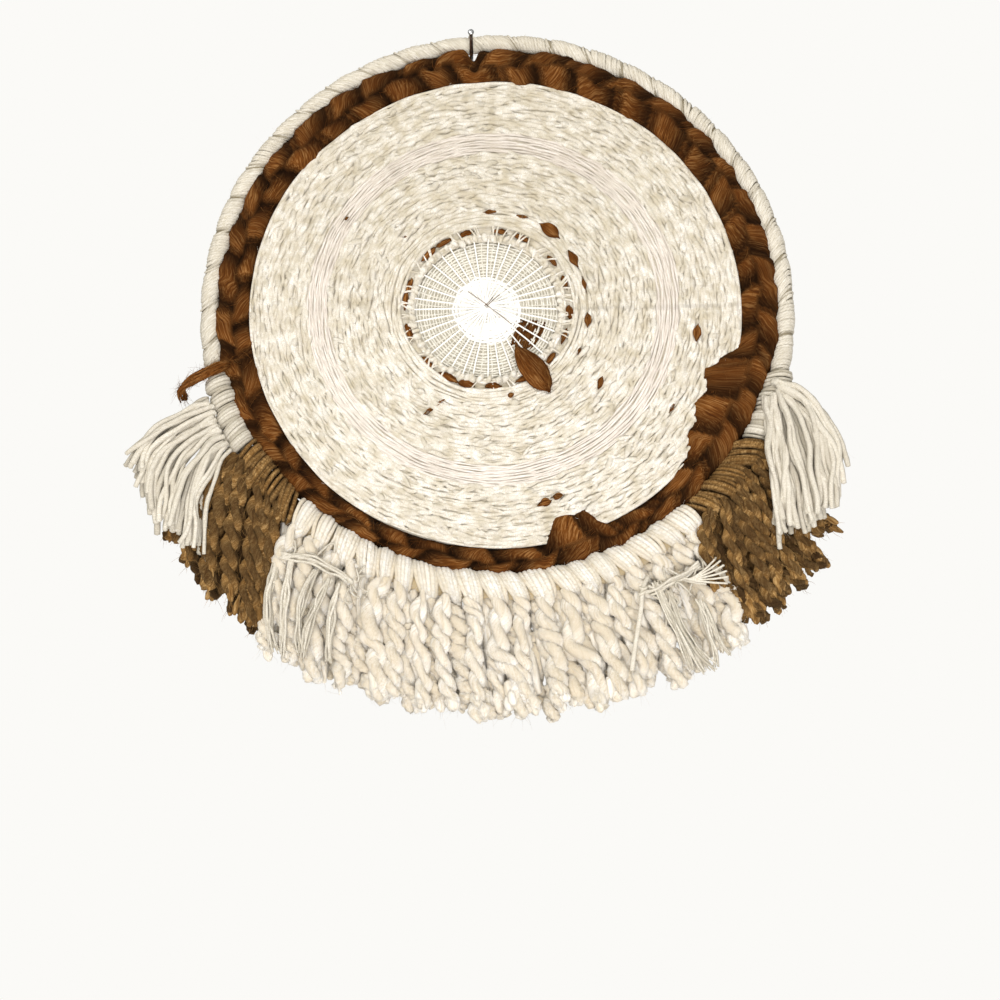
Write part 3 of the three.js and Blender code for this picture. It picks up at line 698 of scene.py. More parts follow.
def makeFloats(look, low, high, share, seed):
    # thick places of the slub yarn that lie on top of the rows, each a little aslant
    dice = np.random.default_rng(seed)
    count = int(look["count"] * share)
    even = np.sqrt(dice.uniform(low ** 2, high ** 2, count))
    degrees = dice.uniform(0, 360, count)
    length = dice.uniform(*look["length"], count)
    lean = dice.normal(0, look["lean"], count)
    step = np.linspace(-0.5, 0.5, 6)[None, :]
    bow = dice.normal(0, 0.4, count)[:, None] * (0.25 - step ** 2)
    forth = step * (length * np.cos(lean))[:, None]
    aside = step * (length * np.sin(lean))[:, None] + bow
    depth = look["depth"] - 0.45 * np.cos(np.pi * step) + dice.normal(0, 0.15, count)[:, None]
    paths = onDisc(even[:, None] + aside, degrees[:, None] + np.degrees(forth / even[:, None]), depth)
    size = dice.uniform(*look["thickness"], count)[:, None]
    # random tone, with painted light that makes the floats darker towards the top and paler towards the
    # bottom
    tone = (dice.uniform(0.6, 1.0, count) - 0.12 * np.sin(np.radians(degrees)))[:, None]
    return locks(paths, size, flat=0.5, sides=5, seed=seed, ends=0.25, shade=tone, lay=1.3)


bands = [
    # name, the radii between which the rows and the floats lie, share of the floats, hairs and seed
    ("outer", (93.6, 123.3), (94, 122.5), 0.62, 480, 100),
    ("inner", (51.6, 82.4), (51.5, 82.5), 0.38, 320, 300),
]
bandFloats, bandFibres = [], []
for number, (name, rows, raised, share, hairs, seed) in enumerate(bands):
    band = slubBand(*rows, weft, seed)
    makePiece("slub_weft_" + name, band, slubWeft)
    bandFloats.append(makeFloats(floats, *raised, share, 71 + number))
    bandFibres.append(strayFibres(joinParts(band), hairs, length=6, lift=0.9, thickness=0.07,
                                  seed=51 + number))
makePiece("slub_floats", bandFloats, slubWeft)
makePiece("slub_weft_fibres", bandFibres, slubWeft)


def threadRow(even, look, seed, yarn):
    # one row of smooth thread, which wanders and swells from cell to cell
    degrees = allRound(int(2 * np.pi * even / look["step"]))
    cells = look["cells"]
    place = degrees / 360 * cells
    beat = overUnder(degrees, np.pi * seed)
    radius = even + look["wander"] * waver(place, seed + 2, cells)
    depth = look["depth"] - look["rise"] * beat - 0.3 * waver(place, seed + 3, cells)
    thick = 1 + 0.3 * waver(place * 2, seed + 6, cells * 2) + 0.25 * waver(place, seed + 9, cells)
    # painted shade where the row passes under a warp thread, random tone, and painted light that makes the
    # row darker towards the top and paler towards the bottom
    tone = 0.72 + 0.2 * easeIn(-1, 0.4, beat) + 0.15 * waver(place, seed + 4, cells)
    return sweep(onDisc(radius, degrees, depth), yarn * thick, 5, closed=True, lay=2.0,
                 shade=tone - 0.14 * np.sin(np.radians(degrees)), offset=seed * 5.1)


fineBand = {"low": 83.2, "high": 93.6, "pitch": 0.86, "yarn": 0.6, "cells": 44, "rise": 0.3, "depth": -14.0,
            "wander": 0.55, "step": 2.7}
# the rows of the smooth ring and of the edge thread are radii, each with its yarn's own radius
smoothRing = {"rows": [(43.9, 0.95), (45.1, 1.1), (46.6, 1.0), (47.9, 0.95), (49.3, 1.05), (50.6, 0.9)],
              "cells": 26, "rise": 0.3, "depth": -14.1, "wander": 0.7, "step": 1.7}
edgeThread = {"even": 123.6, "yarn": 0.9, "cells": 30, "rise": 0.2, "depth": -14.2, "wander": 0.3,
              "step": 1.9}

fineRadii = np.arange(fineBand["low"], fineBand["high"], fineBand["pitch"])
fineRows = [threadRow(even, fineBand, 500 + n, fineBand["yarn"]) for n, even in enumerate(fineRadii)]
ringRows = [threadRow(even, smoothRing, 600 + n, yarn)
            for n, (even, yarn) in enumerate(smoothRing["rows"])]
fineFibres = strayFibres(joinParts(fineRows), 160, length=5, lift=0.5, thickness=0.06, seed=53)
edgeRow = threadRow(edgeThread["even"], edgeThread, 640, edgeThread["yarn"])
makePiece("fine_weft_band", [*fineRows, fineFibres], fineWeft)
makePiece("smooth_weft_ring", ringRows, slubWeft)
makePiece("edge_threads", [edgeRow], slubWeft)
print("weaving ready")


# open middle: fine thread on the rear warp, with the front warp threads over it

discMiddle = hoopMiddle + np.array([disc["shiftX"], 0, disc["shiftZ"]])
gauze = {"radius": 35.6, "open": 18.7, "dense": 17.5, "openPitch": 1.5, "densePitch": 0.8, "depth": -10.7,
         "thread": 0.5, "rise": 0.35, "backFront": -10.45, "backRear": -9.35}
spokes = {"count": 36, "radius": 0.4, "depth": -12.2, "outerDepth": -12.6, "lift": 1.2, "reach": 38.2,
          "turns": 3.2, "knotDepth": -13.1}
warpKnot = discMiddle + np.array([0, 0, spokes["lift"]])


def gauzeRow(look, number, radius, isDense):
    degrees = allRound(max(40, int(2 * np.pi * radius / 1.25)))
    beat = np.cos(np.radians(degrees) * spokes["count"] + np.pi * number)
    wobble = 0.16 + 0.8 * easeIn(13, 17.4, radius) if isDense else 0.4
    radii = radius + wobble * waver(degrees / 360 * 30, number, 30)
    depth = look["depth"] - (0.35 if isDense else 0) - look["rise"] * beat
    size = look["thread"] * (1.12 if isDense else 0.95)
    size = size * (1 + 0.2 * waver(degrees / 360 * 40, number + 60, 40))
    # painted shade: each ring is a little darker where it passes under the warp and paler where it passes
    # over; the open rings are darker than the dense ones
    return sweep(onRing(radii, degrees, depth, discMiddle), size, 5, closed=True, lay=2.5,
                 shade=(1.0 if isDense else 0.9) + 0.05 * beat, offset=number * 3.3)


def makeGauze(look):
    # rings of thread, and the rear warp that they are woven on
    rings = [gauzeRow(look, number, radius, False) for number, radius in
             enumerate(np.arange(look["open"], look["radius"] + 1.0, look["openPitch"]))]
    degrees = (np.arange(spokes["count"]) + 0.5)[:, None] * 360 / spokes["count"]
    along = np.linspace(2, look["radius"] + 1.5, 14)[None, :]
    rearWarp = onRing(along, degrees + 0.6 * waver(along / 5, 3), look["depth"], discMiddle)
    return [*rings, sweep(rearWarp, 0.42, 5, lay=2.5, shade=0.75)]


def makeGauzeBack(look):
    # what shows through the gauze's gaps: a closed sheet close behind it for the thread lying there, with
    # painted shade, dark behind the open gauze and pale behind the dense middle
    radii = np.linspace(0.2, look["radius"] + 1.2, 26)[:, None]
    degrees = allRound(108)
    ripple = 0.12 * waver(radii / 3, 5) * np.cos(np.radians(degrees) * spokes["count"] / 2)
    depths = (look["backFront"] + ripple, look["backRear"] + ripple)
    front, rear = [onRing(radii, degrees, depth, discMiddle) for depth in depths]
    tone = blendTo(1.0, 0.2, easeIn(look["dense"] - 2, look["dense"] + 2, radii)) + 0 * degrees
    return gridPart(np.concatenate([front, rear[::-1]]), shade=np.concatenate([tone, 0.6 + 0 * tone]))


gauzeMiddle = [gauzeRow(gauze, number, radius, True) for number, radius in
               enumerate(np.arange(1.2, gauze["dense"], gauze["densePitch"]))]
makePiece("gauze_ground", [makeGauzeBack(gauze)], warpCotton)
makePiece("gauze_threads", makeGauze(gauze), warpCotton, ["centre_gauze"])
makePiece("gauze_middle", gauzeMiddle, bleachedCotton)


def makeSpokes(look):
    number = np.arange(look["count"])
    degrees = number * 360 / look["count"] + 1.2 * hashed(number, 8)
    end = onRing(look["reach"], degrees, look["outerDepth"], discMiddle)
    start = onRing(0.9, degrees + math.degrees(0.9), look["depth"] - 0.4 * (number % 3), warpKnot)
    along = np.linspace(0, 1, 18)[None, :, None]
    paths = start[:, None] * (1 - along) + end[:, None] * along
    sway = 0.22 * waver(along * 4, number[:, None, None]) * np.sin(np.pi * along)
    threads = sweep(paths + ringTangent(degrees)[:, None] * sway, look["radius"], 7, lay=2.8, shade=0.95)
    # the knot: the threads' ends wound round each other
    winding = np.linspace(0, look["turns"] * 2 * np.pi, 90)[None, :]
    coil = np.stack([warpKnot[0] + (1.0 + 0.14 * winding) * np.cos(winding),
                     look["knotDepth"] + 0.25 * np.sin(winding * 1.7),
                     warpKnot[2] + (0.9 + 0.12 * winding) * np.sin(winding)], -1)
    cross = arcPath(warpKnot + np.array([(-3, -1.1, 1.4), (0.3, -2.6, 0.8), (3.1, -1.1, -1.2)]), 14)
    return [threads, sweep(coil, 0.5, 6, lay=2.8), sweep(cross, 0.45, 6, lay=2.8)]


# painted shade: dark strands of roving that draw the thin lines of shade from the knot; their ends and bends
# from its middle
knotShadeLines = {"radius": 0.16, "guides": [
    ((-9.5, -3.6, 7.6), (-4, -4.2, 3.6), (0.4, -4.0, 0.2)),
    ((0.4, -4.0, 0.2), (3.6, -4.2, 3.2), (6.6, -3.4, 6.0)),
    ((-0.6, -4.1, 0.6), (6, -4.2, -4.4), (12.5, -3.2, -9.6)),
    ((-1.2, -4.0, -0.2), (1.4, -4.4, 1.8), (3.2, -3.6, 4.6))]}


def makeKnotShadeLines(look):
    hairs = [arcPath(warpKnot + np.array(row), 12) for row in look["guides"]]
    return sweep(np.concatenate(hairs), look["radius"], 5, shade=0.5)


makePiece("front_warp", makeSpokes(spokes), bleachedCotton, ["warp_spokes"])
makePiece("knot_shadow_lines", [makeKnotShadeLines(knotShadeLines)], combedRoving)


beads = {"radius": 37.6, "count": 58, "depth": -13.2, "crossings": 66, "crossFrom": 38.0, "crossBy": 6.4,
         "rows": [(37.6, 1.1, -12.4), (38.9, 0.75, -12.9), (36.9, 0.85, -11.6)]}  # radius, yarn and depth


def makeBeads(look):
    # small loops of thread that tie off the front warp, uneven and bunched, over a thick and two thin rows
    number = np.arange(look["count"])
    degrees = (number + 0.35 * hashed(number, 3)) * 360 / look["count"]
    radius = look["radius"] + 0.8 * hashed(number, 5)
    way = unit(ringOutward(degrees) + ringTangent(degrees) * 0.9 * hashed(number, 7)[:, None])
    place = onRing(radius, degrees, look["depth"] - 0.3 * hashed(number, 9), discMiddle)
    reach = (1.9 + 0.5 * hashed(number, 11))[:, None]
    paths = arcPath([place - way * reach, place + np.array([0, -1.3, 0]), place + way * reach], 9)
    loops = locks(paths, (1.45 + 0.4 * hashed(number, 13))[:, None], flat=0.85, sides=8, seed=3, ends=0.45,
                  shade=0.95, lay=1.6)
    rows = [threadRow(even, {**smoothRing, "depth": depth, "wander": 0.5, "cells": 24}, 620 + n, yarn)
            for n, (even, yarn, depth) in enumerate(look["rows"])]
    # and the threads that cross the gap from the loops to the smooth ring
    dice = np.random.default_rng(29)
    turns = dice.uniform(0, 360, (look["crossings"], 1))
    step = np.linspace(0, 1, 8)[None, :]
    aslant = dice.uniform(-6, 6, (look["crossings"], 1)) * step
    depth = look["depth"] + 0.2 - 1.5 * np.sin(np.pi * step) ** 0.7
    across = onDisc(look["crossFrom"] + look["crossBy"] * step, turns + aslant, depth)
    crossing = sweep(across, dice.uniform(0.3, 0.6, (look["crossings"], 1)), 5, lay=1.6, shade=0.9)
    return [roughen(loops, 0.18, 1.4, 8), crossing, *rows]


makePiece("bead_ring", makeBeads(beads), slubWeft)
print("open middle ready")


# tufts of roving: they show between the rows, and as the leaf and the wisp

spots = {
    # x, z, length, width, lean in degrees from level, and depth
    "places": [
        (9.9, -88.3, 7.5, 2.4, 4, -14.9), (26.2, -90.7, 6, 2.2, -10, -14.9), (39.8, -98.2, 13.5, 7, -38, -15),
        (51.9, -113.4, 10, 5, -62, -15), (57.3, -127.2, 8, 2.4, -76, -15), (58.8, -146.4, 8.5, 4, -92, -15),
        (54.6, -161.9, 4.5, 1.8, 64, -14.8), (64.6, -178.9, 7.5, 3.6, 70, -15.2),
        (113.5, -152.8, 9.5, 4.4, 84, -15.4), (100, -191.8, 6, 2.4, 60, -15.2),
        (120, -185.1, 7, 3.6, 62, -15.2), (36.6, -240, 6.6, 4.4, 20, -15.2),
        (43.2, -236.6, 6.4, 4.2, 10, -15.2), (-20.6, -193.8, 5, 3, 30, -15),
        (-14.7, -189.2, 5.5, 2.2, 35, -14.9), (-62.9, -91.6, 2.2, 1.2, 40, -15),
        (-33, -101.5, 2.4, 1.2, 10, -15), (20.6, -185.2, 3.6, 2, 15, -14.9)],
    "gaps": 18, "gapRadius": 41.3, "gapLength": 8.4, "gapWidth": 3.0, "gapDepth": -13.3,
}
forward = np.array([0, -1, 0])  # towards the room


def tuft(x, z, length, width, lean, depth, seed, count=5, blunt=1.0):
    # a small bundle of locks drawn to a point at both ends
    along, across = ringOutward(lean), ringTangent(lean)
    number = np.arange(count)[:, None, None] - (count - 1) / 2
    step = np.linspace(-0.5, 0.5, 9)[None, :, None]
    bow = np.clip(np.cos(np.pi * step), 0, 1) ** blunt
    thick = width / count * 0.8
    paths = np.array([x, depth, z]) + along * length * step * (1 - 0.08 * np.abs(number) * blunt)
    paths = paths + across * thick * number * bow
    paths = paths + forward * (width * 0.28 * bow * (1 - (number / count * 1.6) ** 2))
    paths = paths + along * 0.09 * length * hashed(number * 3, seed)
    # painted shade: the locks darken towards their ends, where they lie back, with random tone from lock to
    # lock
    tone = (0.42 + 0.42 * bow[..., 0]) * (1 + 0.3 * hashed(number[..., 0], seed))
    return roughen(locks(paths, thick, flat=0.8, sides=5, seed=seed, ends=0.35, shade=tone), 0.3, 1.1, seed)


def makeSpots(look):
    parts = [tuft(*place, seed=n * 5) for n, place in enumerate(look["places"])]
    for gap in range(look["gaps"]):
        # and one in each gap between the beads and the smooth ring: brown roving seen through the gap, with
        # painted shade in it
        degrees = (gap + 0.3 * hashed(gap, 3)) * 360 / look["gaps"]
        place = onDisc(np.array(look["gapRadius"]), np.array(degrees), np.array(look["gapDepth"]))
        length = look["gapLength"] * (1 + 0.2 * hashed(gap, 5))
        width = look["gapWidth"] * (1 + 0.3 * hashed(gap, 9))
        parts.append(tuft(place[0], place[2], length, width, degrees + 90, look["gapDepth"], gap * 3 + 70,
                          count=3, blunt=0.6))
    return parts


spotParts = makeSpots(spots)
spotFibres = strayFibres(joinParts(spotParts), 420, length=2.6, lift=0.5, thickness=0.07, seed=63, side=0.9,
                         shade=0.7)
makePiece("roving_peeks", [*spotParts, spotFibres], combedRoving)

leaf = {"x": 17.6, "z": -35.0, "length": 28.5, "width": 13.6, "degrees": 126, "depth": -15.9, "locks": 19,
        "upperLocks": 10, "upper": [((26.0, -10.9, -144.1), (23.5, -10.9, -150.5), (21.0, -10.9, -158.3)),
                                    ((31.8, -10.9, -145.0), (29.3, -10.9, -151.5), (26.5, -10.9, -159.6)),
                                    ((37.6, -10.9, -145.7), (35.1, -10.9, -152.6), (30.5, -10.9, -160.5))]}


def makeLeaf(look):
    # an end of roving drawn to a point at both ends; its upper part lies behind the front warp
    along, across = ringOutward(look["degrees"]), ringTangent(look["degrees"])
    length, width, count = look["length"], look["width"], look["locks"]
    place = hoopMiddle * (1, 0, 1) + np.array([look["x"], look["depth"], look["z"]])
    order = np.arange(count)[:, None, None]
    number = (order - (count - 1) / 2) / (count / 2)
    step = np.linspace(-0.5, 0.5, 15)[None, :, None]
    bow = np.clip(np.cos(np.pi * step), 0, 1) ** 0.55 * (1 - 0.35 * step)
    paths = place + along * length * step * (1 - 0.1 * number ** 2) + across * 0.42 * width * number * bow
    paths = paths + forward * (1.7 * bow * np.sqrt(np.clip(1 - number ** 2, 0, 1)))
    paths = paths + across * 0.25 * waver(step * 4 + 2, order)
    # painted shade towards the ends of the locks; the locks are also darker along one edge of the leaf, and
    # the upper locks are darker all over
    tone = blendTo(0.45, 1, 0.5 + 0.5 * number[..., 0]) * blendTo(0.6, 1, bow[..., 0])
    front = locks(paths, 1.0, flat=0.9, seed=9, ends=0.4, shade=tone)
    upperPaths = guidedPaths(look["upper"], look["upperLocks"], 12, 77, spread=0.8)
    upper = locks(upperPaths, 1.05, flat=0.55, seed=12, ends=0.7, shade=0.42)
    body = tuft(place[0], place[2], length * 0.9, width * 0.8, look["degrees"], place[1] + 1.1, 31, count=9)
    return [roughen(roughen(front, 0.3, 1.8, 6), 0.3, 0.9, 7, stretch=6), roughen(upper, 0.2, 1.2, 8), body]


wisp = {"root": (-119.5, -17.6, -169.4), "bend": (-132.6, -20.6, -174.6), "tip": (-149.6, -12, -184.6),
        "locks": 15}


def makeWisp(look):
    # locks that leave the border sideways and curl under at their tips
    root, bend, tip = [np.array(look[key]) for key in ("root", "bend", "tip")]
    order = np.arange(look["locks"])
    number = order[:, None]
    fan = np.stack([0.5 * hashed(order, 2), 0.7 * hashed(order, 3), 1.1 * hashed(order, 4)], -1)
    shorter = 0.12 * np.abs(hashed(number, 5))
    tips = tip * (1 - shorter) + root * shorter + fan * 0.5
    paths = arcPath([root + fan * 1.4, bend + fan * 2.4, tips], 16)
    along = lengthsOf(paths)
    paths = paths + 0.8 * swayOf(along, (0, 7, 0), (1, 7, number), (1, 6, number + 30))
    curl = easeIn(0.78, 1, along / along[:, -1:])[..., None]
    paths = paths + curl * (2.4, 0.4, -3.4) + curl ** 3 * (3.4, 0.6, 0.6)
    return roughen(locks(paths, 0.85, flat=0.7, seed=4, ends=0.45), 0.4, 1.3, 9)


leafParts, wispPart = makeLeaf(leaf), makeWisp(wisp)
leafFibres = strayFibres(leafParts[0], 200, length=6, lift=0.8, thickness=0.06, seed=61)
wispFibres = strayFibres(wispPart, 420, length=7, lift=2.6, thickness=0.07, seed=62, joints=4)
makePiece("roving_leaf_locks", [*leafParts, leafFibres], combedRoving, ["roving_leaf"])
makePiece("roving_wisp_locks", [wispPart, wispFibres], combedRoving, ["roving_wisp"])
print("tufts ready")


# knot rows: yarn folded over the hoop, with its tails hanging in a front and a rear layer

def knotEdges(row):
    # where each knot of a row starts and ends, in degrees: some are wider than others
    wide = 1 + 0.22 * hashed(np.arange(row["knots"]), row["knots"] + 3)
    return row["from"] + (row["to"] - row["from"]) * np.concatenate([[0], np.cumsum(wide)]) / wide.sum()


def makeKnots(row, look):
    # each knot is a few turns of yarn that bunch together where they leave the hoop
    parts = []
    phase = np.linspace(0, 2 * np.pi, look["steps"], endpoint=False)[None, :]
    facing = 0.5 + 0.5 * np.cos(phase + np.pi / 2 + look["wideAt"])
    spread = blendTo(look["pinch"], 1.06, facing ** 1.3)
    own = np.arange(look["turns"])[:, None]
    number = (own + 0.5) / look["turns"] - 0.5
    bulge = 1 - (2 * number) ** 2
    sides = 7
    # painted shade: each turn is palest on its crest and darker on its flanks, so the turns stand apart
    crest = blendTo(look["flankShade"], 1, np.cos(np.arange(sides) * 2 * np.pi / sides) ** 2)
    edges = knotEdges(row)
    for knot, (start, end) in enumerate(zip(edges, edges[1:])):
        width = math.radians(end - start) * hoop["radius"]
        lean = look["lean"] * (1 + 0.4 * hashed(knot, 5)) * np.cos(phase + 0.3)
        uneven = look["uneven"] * (hashed(own, knot) + waver(phase * 0.6 + own * 3, knot))
        degrees = (start + end) / 2 + np.degrees((number * width * spread + lean + uneven) / hoop["radius"])
        radius = row["radius"] - look["yarn"] + 0.1 + 0.9 * bulge * facing + 0.25 * hashed(knot, 7)
        radius = radius + 0.8 * look["uneven"] * hashed(own, knot + 9) - 0.7 * (1 - bulge)
        radius = radius - look["dip"] * (1 - facing) ** 2
        size = look["yarn"] * (1 + 0.12 * waver(phase * 1.3 + number * 9, knot))
        size = size * (1 + 0.4 * look["uneven"] * hashed(own, knot + 3))
        # painted shade: the turns at a knot's two edges, which lie lower, are darker than those in its
        # middle; the rest varies at random
        tone = (0.45 + 0.5 * bulge) * (0.92 + 0.12 * hashed(own, knot + 40)) * np.ones_like(phase)
        turns = sweep(roundTube(radius, phase, degrees), size, sides, reference=ringTangent(degrees),
                      closed=True, lay=look["lay"], shade=tone[..., None] * crest, offset=knot * 13)
        parts.append(roughen(turns, 0.16, 1.1, knot, stretch=8))
    # and a core that closes the row, dark with painted shade
    steps = row["knots"] * 6
    along = np.linspace(row["from"] - 0.1, row["to"] + 0.1, steps)
    thick = (row["radius"] - 2.9) * (0.93 + 0.07 * waver(np.arange(steps) / 3, 5))
    return parts, sweep(onRing(hoop["radius"], along, hoopMiddle[1])[None], thick[None], 14, shade=0.08)


def layerPaths(row, look, level, strands, stations, shorter=0.0, wander=0.0, startIn=0.0):
    # the same curves as the CAD's tails, from their roots in the knots to their cut ends
    layer = look["layers"][level]
    number = np.arange(strands)
    share = (number + 0.5 + 0.5 * level) / (strands + level)
    seed = level * 7 + row["knots"]
    rootAngle = blendTo(row["from"], row["to"], share)
    tipAngle = blendTo(*look["tipDegrees"], share) + (0.4 + wander) * hashed(number, seed + 1)
    tipRadius = look["tipRadius"] - shorter + layer["longer"] + 3 * hashed(number, seed)
    rootRadius = hoop["radius"] + row["radius"] * 0.55 - startIn
    bendRadius = rootRadius + (tipRadius - rootRadius) * look["lift"]
    return arcPath([onRing(rootRadius, rootAngle, layer["root"]),
                    onRing(bendRadius, rootAngle, blendTo(layer["root"], layer["tip"], 0.7)),
                    onRing(tipRadius, tipAngle, layer["tip"])], stations)


def pliedTails(paths, look, level, seed):
    # two soft plies wound round each other, loosening at the cut end
    across, out = framesOf(paths, (0, 1, 0), False)[1:]
    along = lengthsOf(paths)
    share = along / along[:, -1:]
    number = np.arange(len(paths))[:, None]
    loosen = easeIn(0.86, 1, share)
    wider, pale = look["wider"][level], look["pale"][level]
    pitch = look["pitch"] * (1 + 0.25 * hashed(number, seed + 3))
    sway = swayOf(along, (1, 14, seed + number), (0, 14, 0), (1, 14, seed + 50 + number))
    parts = []
    for ply in range(look["plies"]):
        phase = 2 * np.pi * along / pitch + 2 * np.pi * ply / look["plies"] + 3.14 * hashed(number, seed)
        phase = phase + 0.5 * waver(along / 9, seed + number + 7)
        orbit = look["orbit"] * wider * (1 + 0.35 * loosen * hashed(number + ply * 9, seed + 5))
        orbit = orbit * (0.94 + 0.1 * waver(along / 11, seed + ply))
        centre = paths + 0.5 * look["wander"] * sway + (orbit * np.cos(phase))[..., None] * across
        centre = centre + (0.85 * orbit * np.sin(phase))[..., None] * out
        size = look["ply"] * wider * (1 + 0.16 * waver(along / 7, seed + number * 3 + ply))
        size = size * (1 + 0.16 * hashed(number, seed + 8))
        size = size * (0.76 + 0.24 * easeIn(0, 0.16, share)) * (1 - 0.35 * loosen ** 2)
        # painted shade: each ply darkens along one side of the cord as it winds round, the rear layers are
        # darker by their pale value, and the rest varies at random
        nearWall = 0.5 + 0.5 * np.sin(phase)
        tone = blendTo(look["plyShade"], 1, easeIn(0.05, 0.7, nearWall)) * pale
        part = sweep(centre, size, look["sides"][level], flat=0.9, lay=look["lay"], turn=phase,
                     shade=tone * (0.88 + 0.12 * hashed(number, seed + 11)), offset=seed + ply * 17)
        part = roughen(part, look["lumpy"], 3.6, seed + ply)
        parts.append(roughen(part, look["stranded"], 1.5, seed + ply + 5, stretch=9))
    return parts


def endPuffs(paths, look, seed):
    # the soft round bodies of wool that a cut cord opens into
    number = np.repeat(np.arange(len(paths)), look["puffs"])
    dice = np.random.default_rng(seed + 40)
    ahead = unit(paths[number, -1] - paths[number, -6])
    side = dice.normal(0, 1, (len(number), 3)) * (1.9, 1.3, 1.9)
    start = paths[number, -1] - ahead * dice.uniform(7, 13, (len(number), 1)) + side * 0.6
    finish = paths[number, -1] + ahead * dice.uniform(-3.0, 1.2, (len(number), 1)) + side
    size = look["puff"] * dice.uniform(0.55, 1.1, (len(number), 1))
    bend = (start + finish) / 2 + dice.normal(0, 0.8, (len(number), 3))
    tone = dice.uniform(0.6, 0.95, (len(number), 1))
    paths = arcPath([start, bend, finish], 9)
    puffs = locks(paths, size, flat=0.85, sides=8, seed=seed, ends=0.45, shade=tone)
    return roughen(roughen(puffs, 0.8, 3.0, seed), 0.3, 1.3, seed + 3, stretch=5)


# the brown fringes hang along guides, each the root, middle and tip of a cord, and the cream one in layers
# from its front to its rear; seams are locks that close a fringe's gap beside the next one
fringes = {
    "fringe_brown_left": {"seams": [((-116, -6, -214), (-131, -6, -242), (-134, -5, -266))], "guides": [
        ((-119.8, -14, -215.5), (-139.3, -15, -235.4), (-152.0, -14, -251.1)),
        ((-117.0, -15, -219.3), (-131.2, -16, -238.6), (-138.0, -15, -264.2)),
        ((-113.3, -16, -222.6), (-124.8, -17, -246.3), (-126.2, -15, -279.9)),
        ((-110.2, -16, -225.1), (-115.2, -18, -252.9), (-115.2, -16, -285.8)),
        ((-104.2, -16, -230.6), (-104.0, -18, -254.9), (-107.0, -16, -294.1)),
        ((-99.6, -15, -237.1), (-101.0, -16, -268.6), (-101.2, -15, -302.3)),
        ((-93.4, -12, -241.4), (-94.6, -12, -266.3), (-97.0, -12, -290.5))]},
    "fringe_cream": {
        "seams": [((-88, -8, -238), (-90.5, -9, -262), (-94, -9, -303))], "lift": 0.35, "tipRadius": 206,
        "tipDegrees": (236.8, 307), "layers": [{"root": -15.4, "tip": -15.2, "longer": 0},
                                               {"root": -10.6, "tip": -10.3, "longer": -1.5},
                                               {"root": -5.8, "tip": -5.4, "longer": -3}]},
    "fringe_brown_right": {"seams": [], "guides": [
        ((116.6, -15, -248.4), (113.6, -17, -258.7), (111.4, -16, -271.2)),
        ((122.4, -16, -244.6), (119.5, -18, -266.7), (132.4, -16, -293.6)),
        ((127.9, -16, -239.6), (126.2, -19, -263.0), (139.4, -17, -293.2)),
        ((133.5, -16, -233.6), (138.1, -18, -257.9), (150.3, -16, -287.8)),
        ((138.7, -16, -225.6), (146.7, -17, -253.7), (160.5, -15, -278.4)),
        ((143.0, -15, -218.8), (154.9, -16, -245.6), (167.6, -14, -264.5)),
        ((146.8, -14, -214.0), (162.5, -14, -237.2), (176.1, -12, -247.7))]},
}
# the cords of each fringe: tuples have a value for each layer, and the backing is a count and a thickness
# pale is painted shade that darkens the rear layers, and the backing takes the last layer's; the shade of a
# ply's darker side is painted too
creamCord = {"pitch": 21, "plies": 2, "orbit": 2.1, "ply": 3.0, "sides": (11, 7, 6), "wander": 6.5,
             "lay": 0.5, "plyShade": 0.6, "lumpy": 0.45, "stranded": 0.55, "puffs": 3, "puff": 2.9, "hairs": 2600,
             "count": (19, 21, 22), "pale": (1, 0.9, 0.85), "wider": (1, 1.12, 1.2), "backing": (28, 3.8),
             "startIn": 2.5, "backingStartIn": 4, "backingShorter": 9}
brownCord = {"pitch": 19, "plies": 2, "orbit": 1.95, "ply": 2.45, "sides": (11, 8, 6), "wander": 1.6,
             "lay": 0.7, "plyShade": 0.3, "lumpy": 0.3, "stranded": 0.4, "puffs": 3, "puff": 2.2, "hairs": 900,
             "count": (7, 7, 8), "pale": (1.0, 0.42, 0.25), "wider": (1, 1, 1.15), "backing": (8, 3.2),
             "spread": 1.2, "startIn": 3.5, "behind": (0, 5, 8.5), "backingBehind": 7.5}
thinCord = {**brownCord, "pitch": 17, "orbit": 1.7, "ply": 2.15, "count": (8, 9, 9), "puff": 1.9,
            "spread": 2.6, "wander": 2.6, "pale": (1.0, 0.55, 0.3)}
creamKnot = {"turns": 6, "yarn": 1.25, "lean": 3.2, "steps": 22, "lay": 1.2, "pinch": 0.3, "wideAt": 0.7,
             "dip": 2.6, "flankShade": 0.78, "uneven": 0.3}
brownKnot = {"turns": 4, "yarn": 1.38, "lean": 4.0, "steps": 24, "lay": 1.3, "pinch": 0.62, "wideAt": 0.6,
             "dip": 1.0, "flankShade": 0.2, "uneven": 0.45}


def fringePaths(row, look, cord, seed):
    # each layer's cords, and loose wool behind them so that no light comes through between them
    stations, backing = 40, cord["backing"][0]
    if "guides" not in look:
        layers = [layerPaths(row, look, level, count, stations, wander=0.9, startIn=cord["startIn"])
                  for level, count in enumerate(cord["count"])]
        return layers, layerPaths(row, look, 1, backing, 10, shorter=cord["backingShorter"],
                                  startIn=cord["backingStartIn"])
    # the cords start inside the knots
    guides = np.array(look["guides"], float)
    guides[:, 0] += cord["startIn"] * unit((hoopMiddle - guides[:, 0]) * (1, 0, 1))
    layers = []
    for level, count in enumerate(cord["count"]):
        spread = cord["spread"] * (1 + level)
        paths = guidedPaths(guides, count, stations, seed + level, spread=spread, order=0.1)
        layers.append(paths - forward * cord["behind"][level])
    return layers, guidedPaths(guides, backing, 10, seed + 9, order=0.1) - forward * cord["backingBehind"]


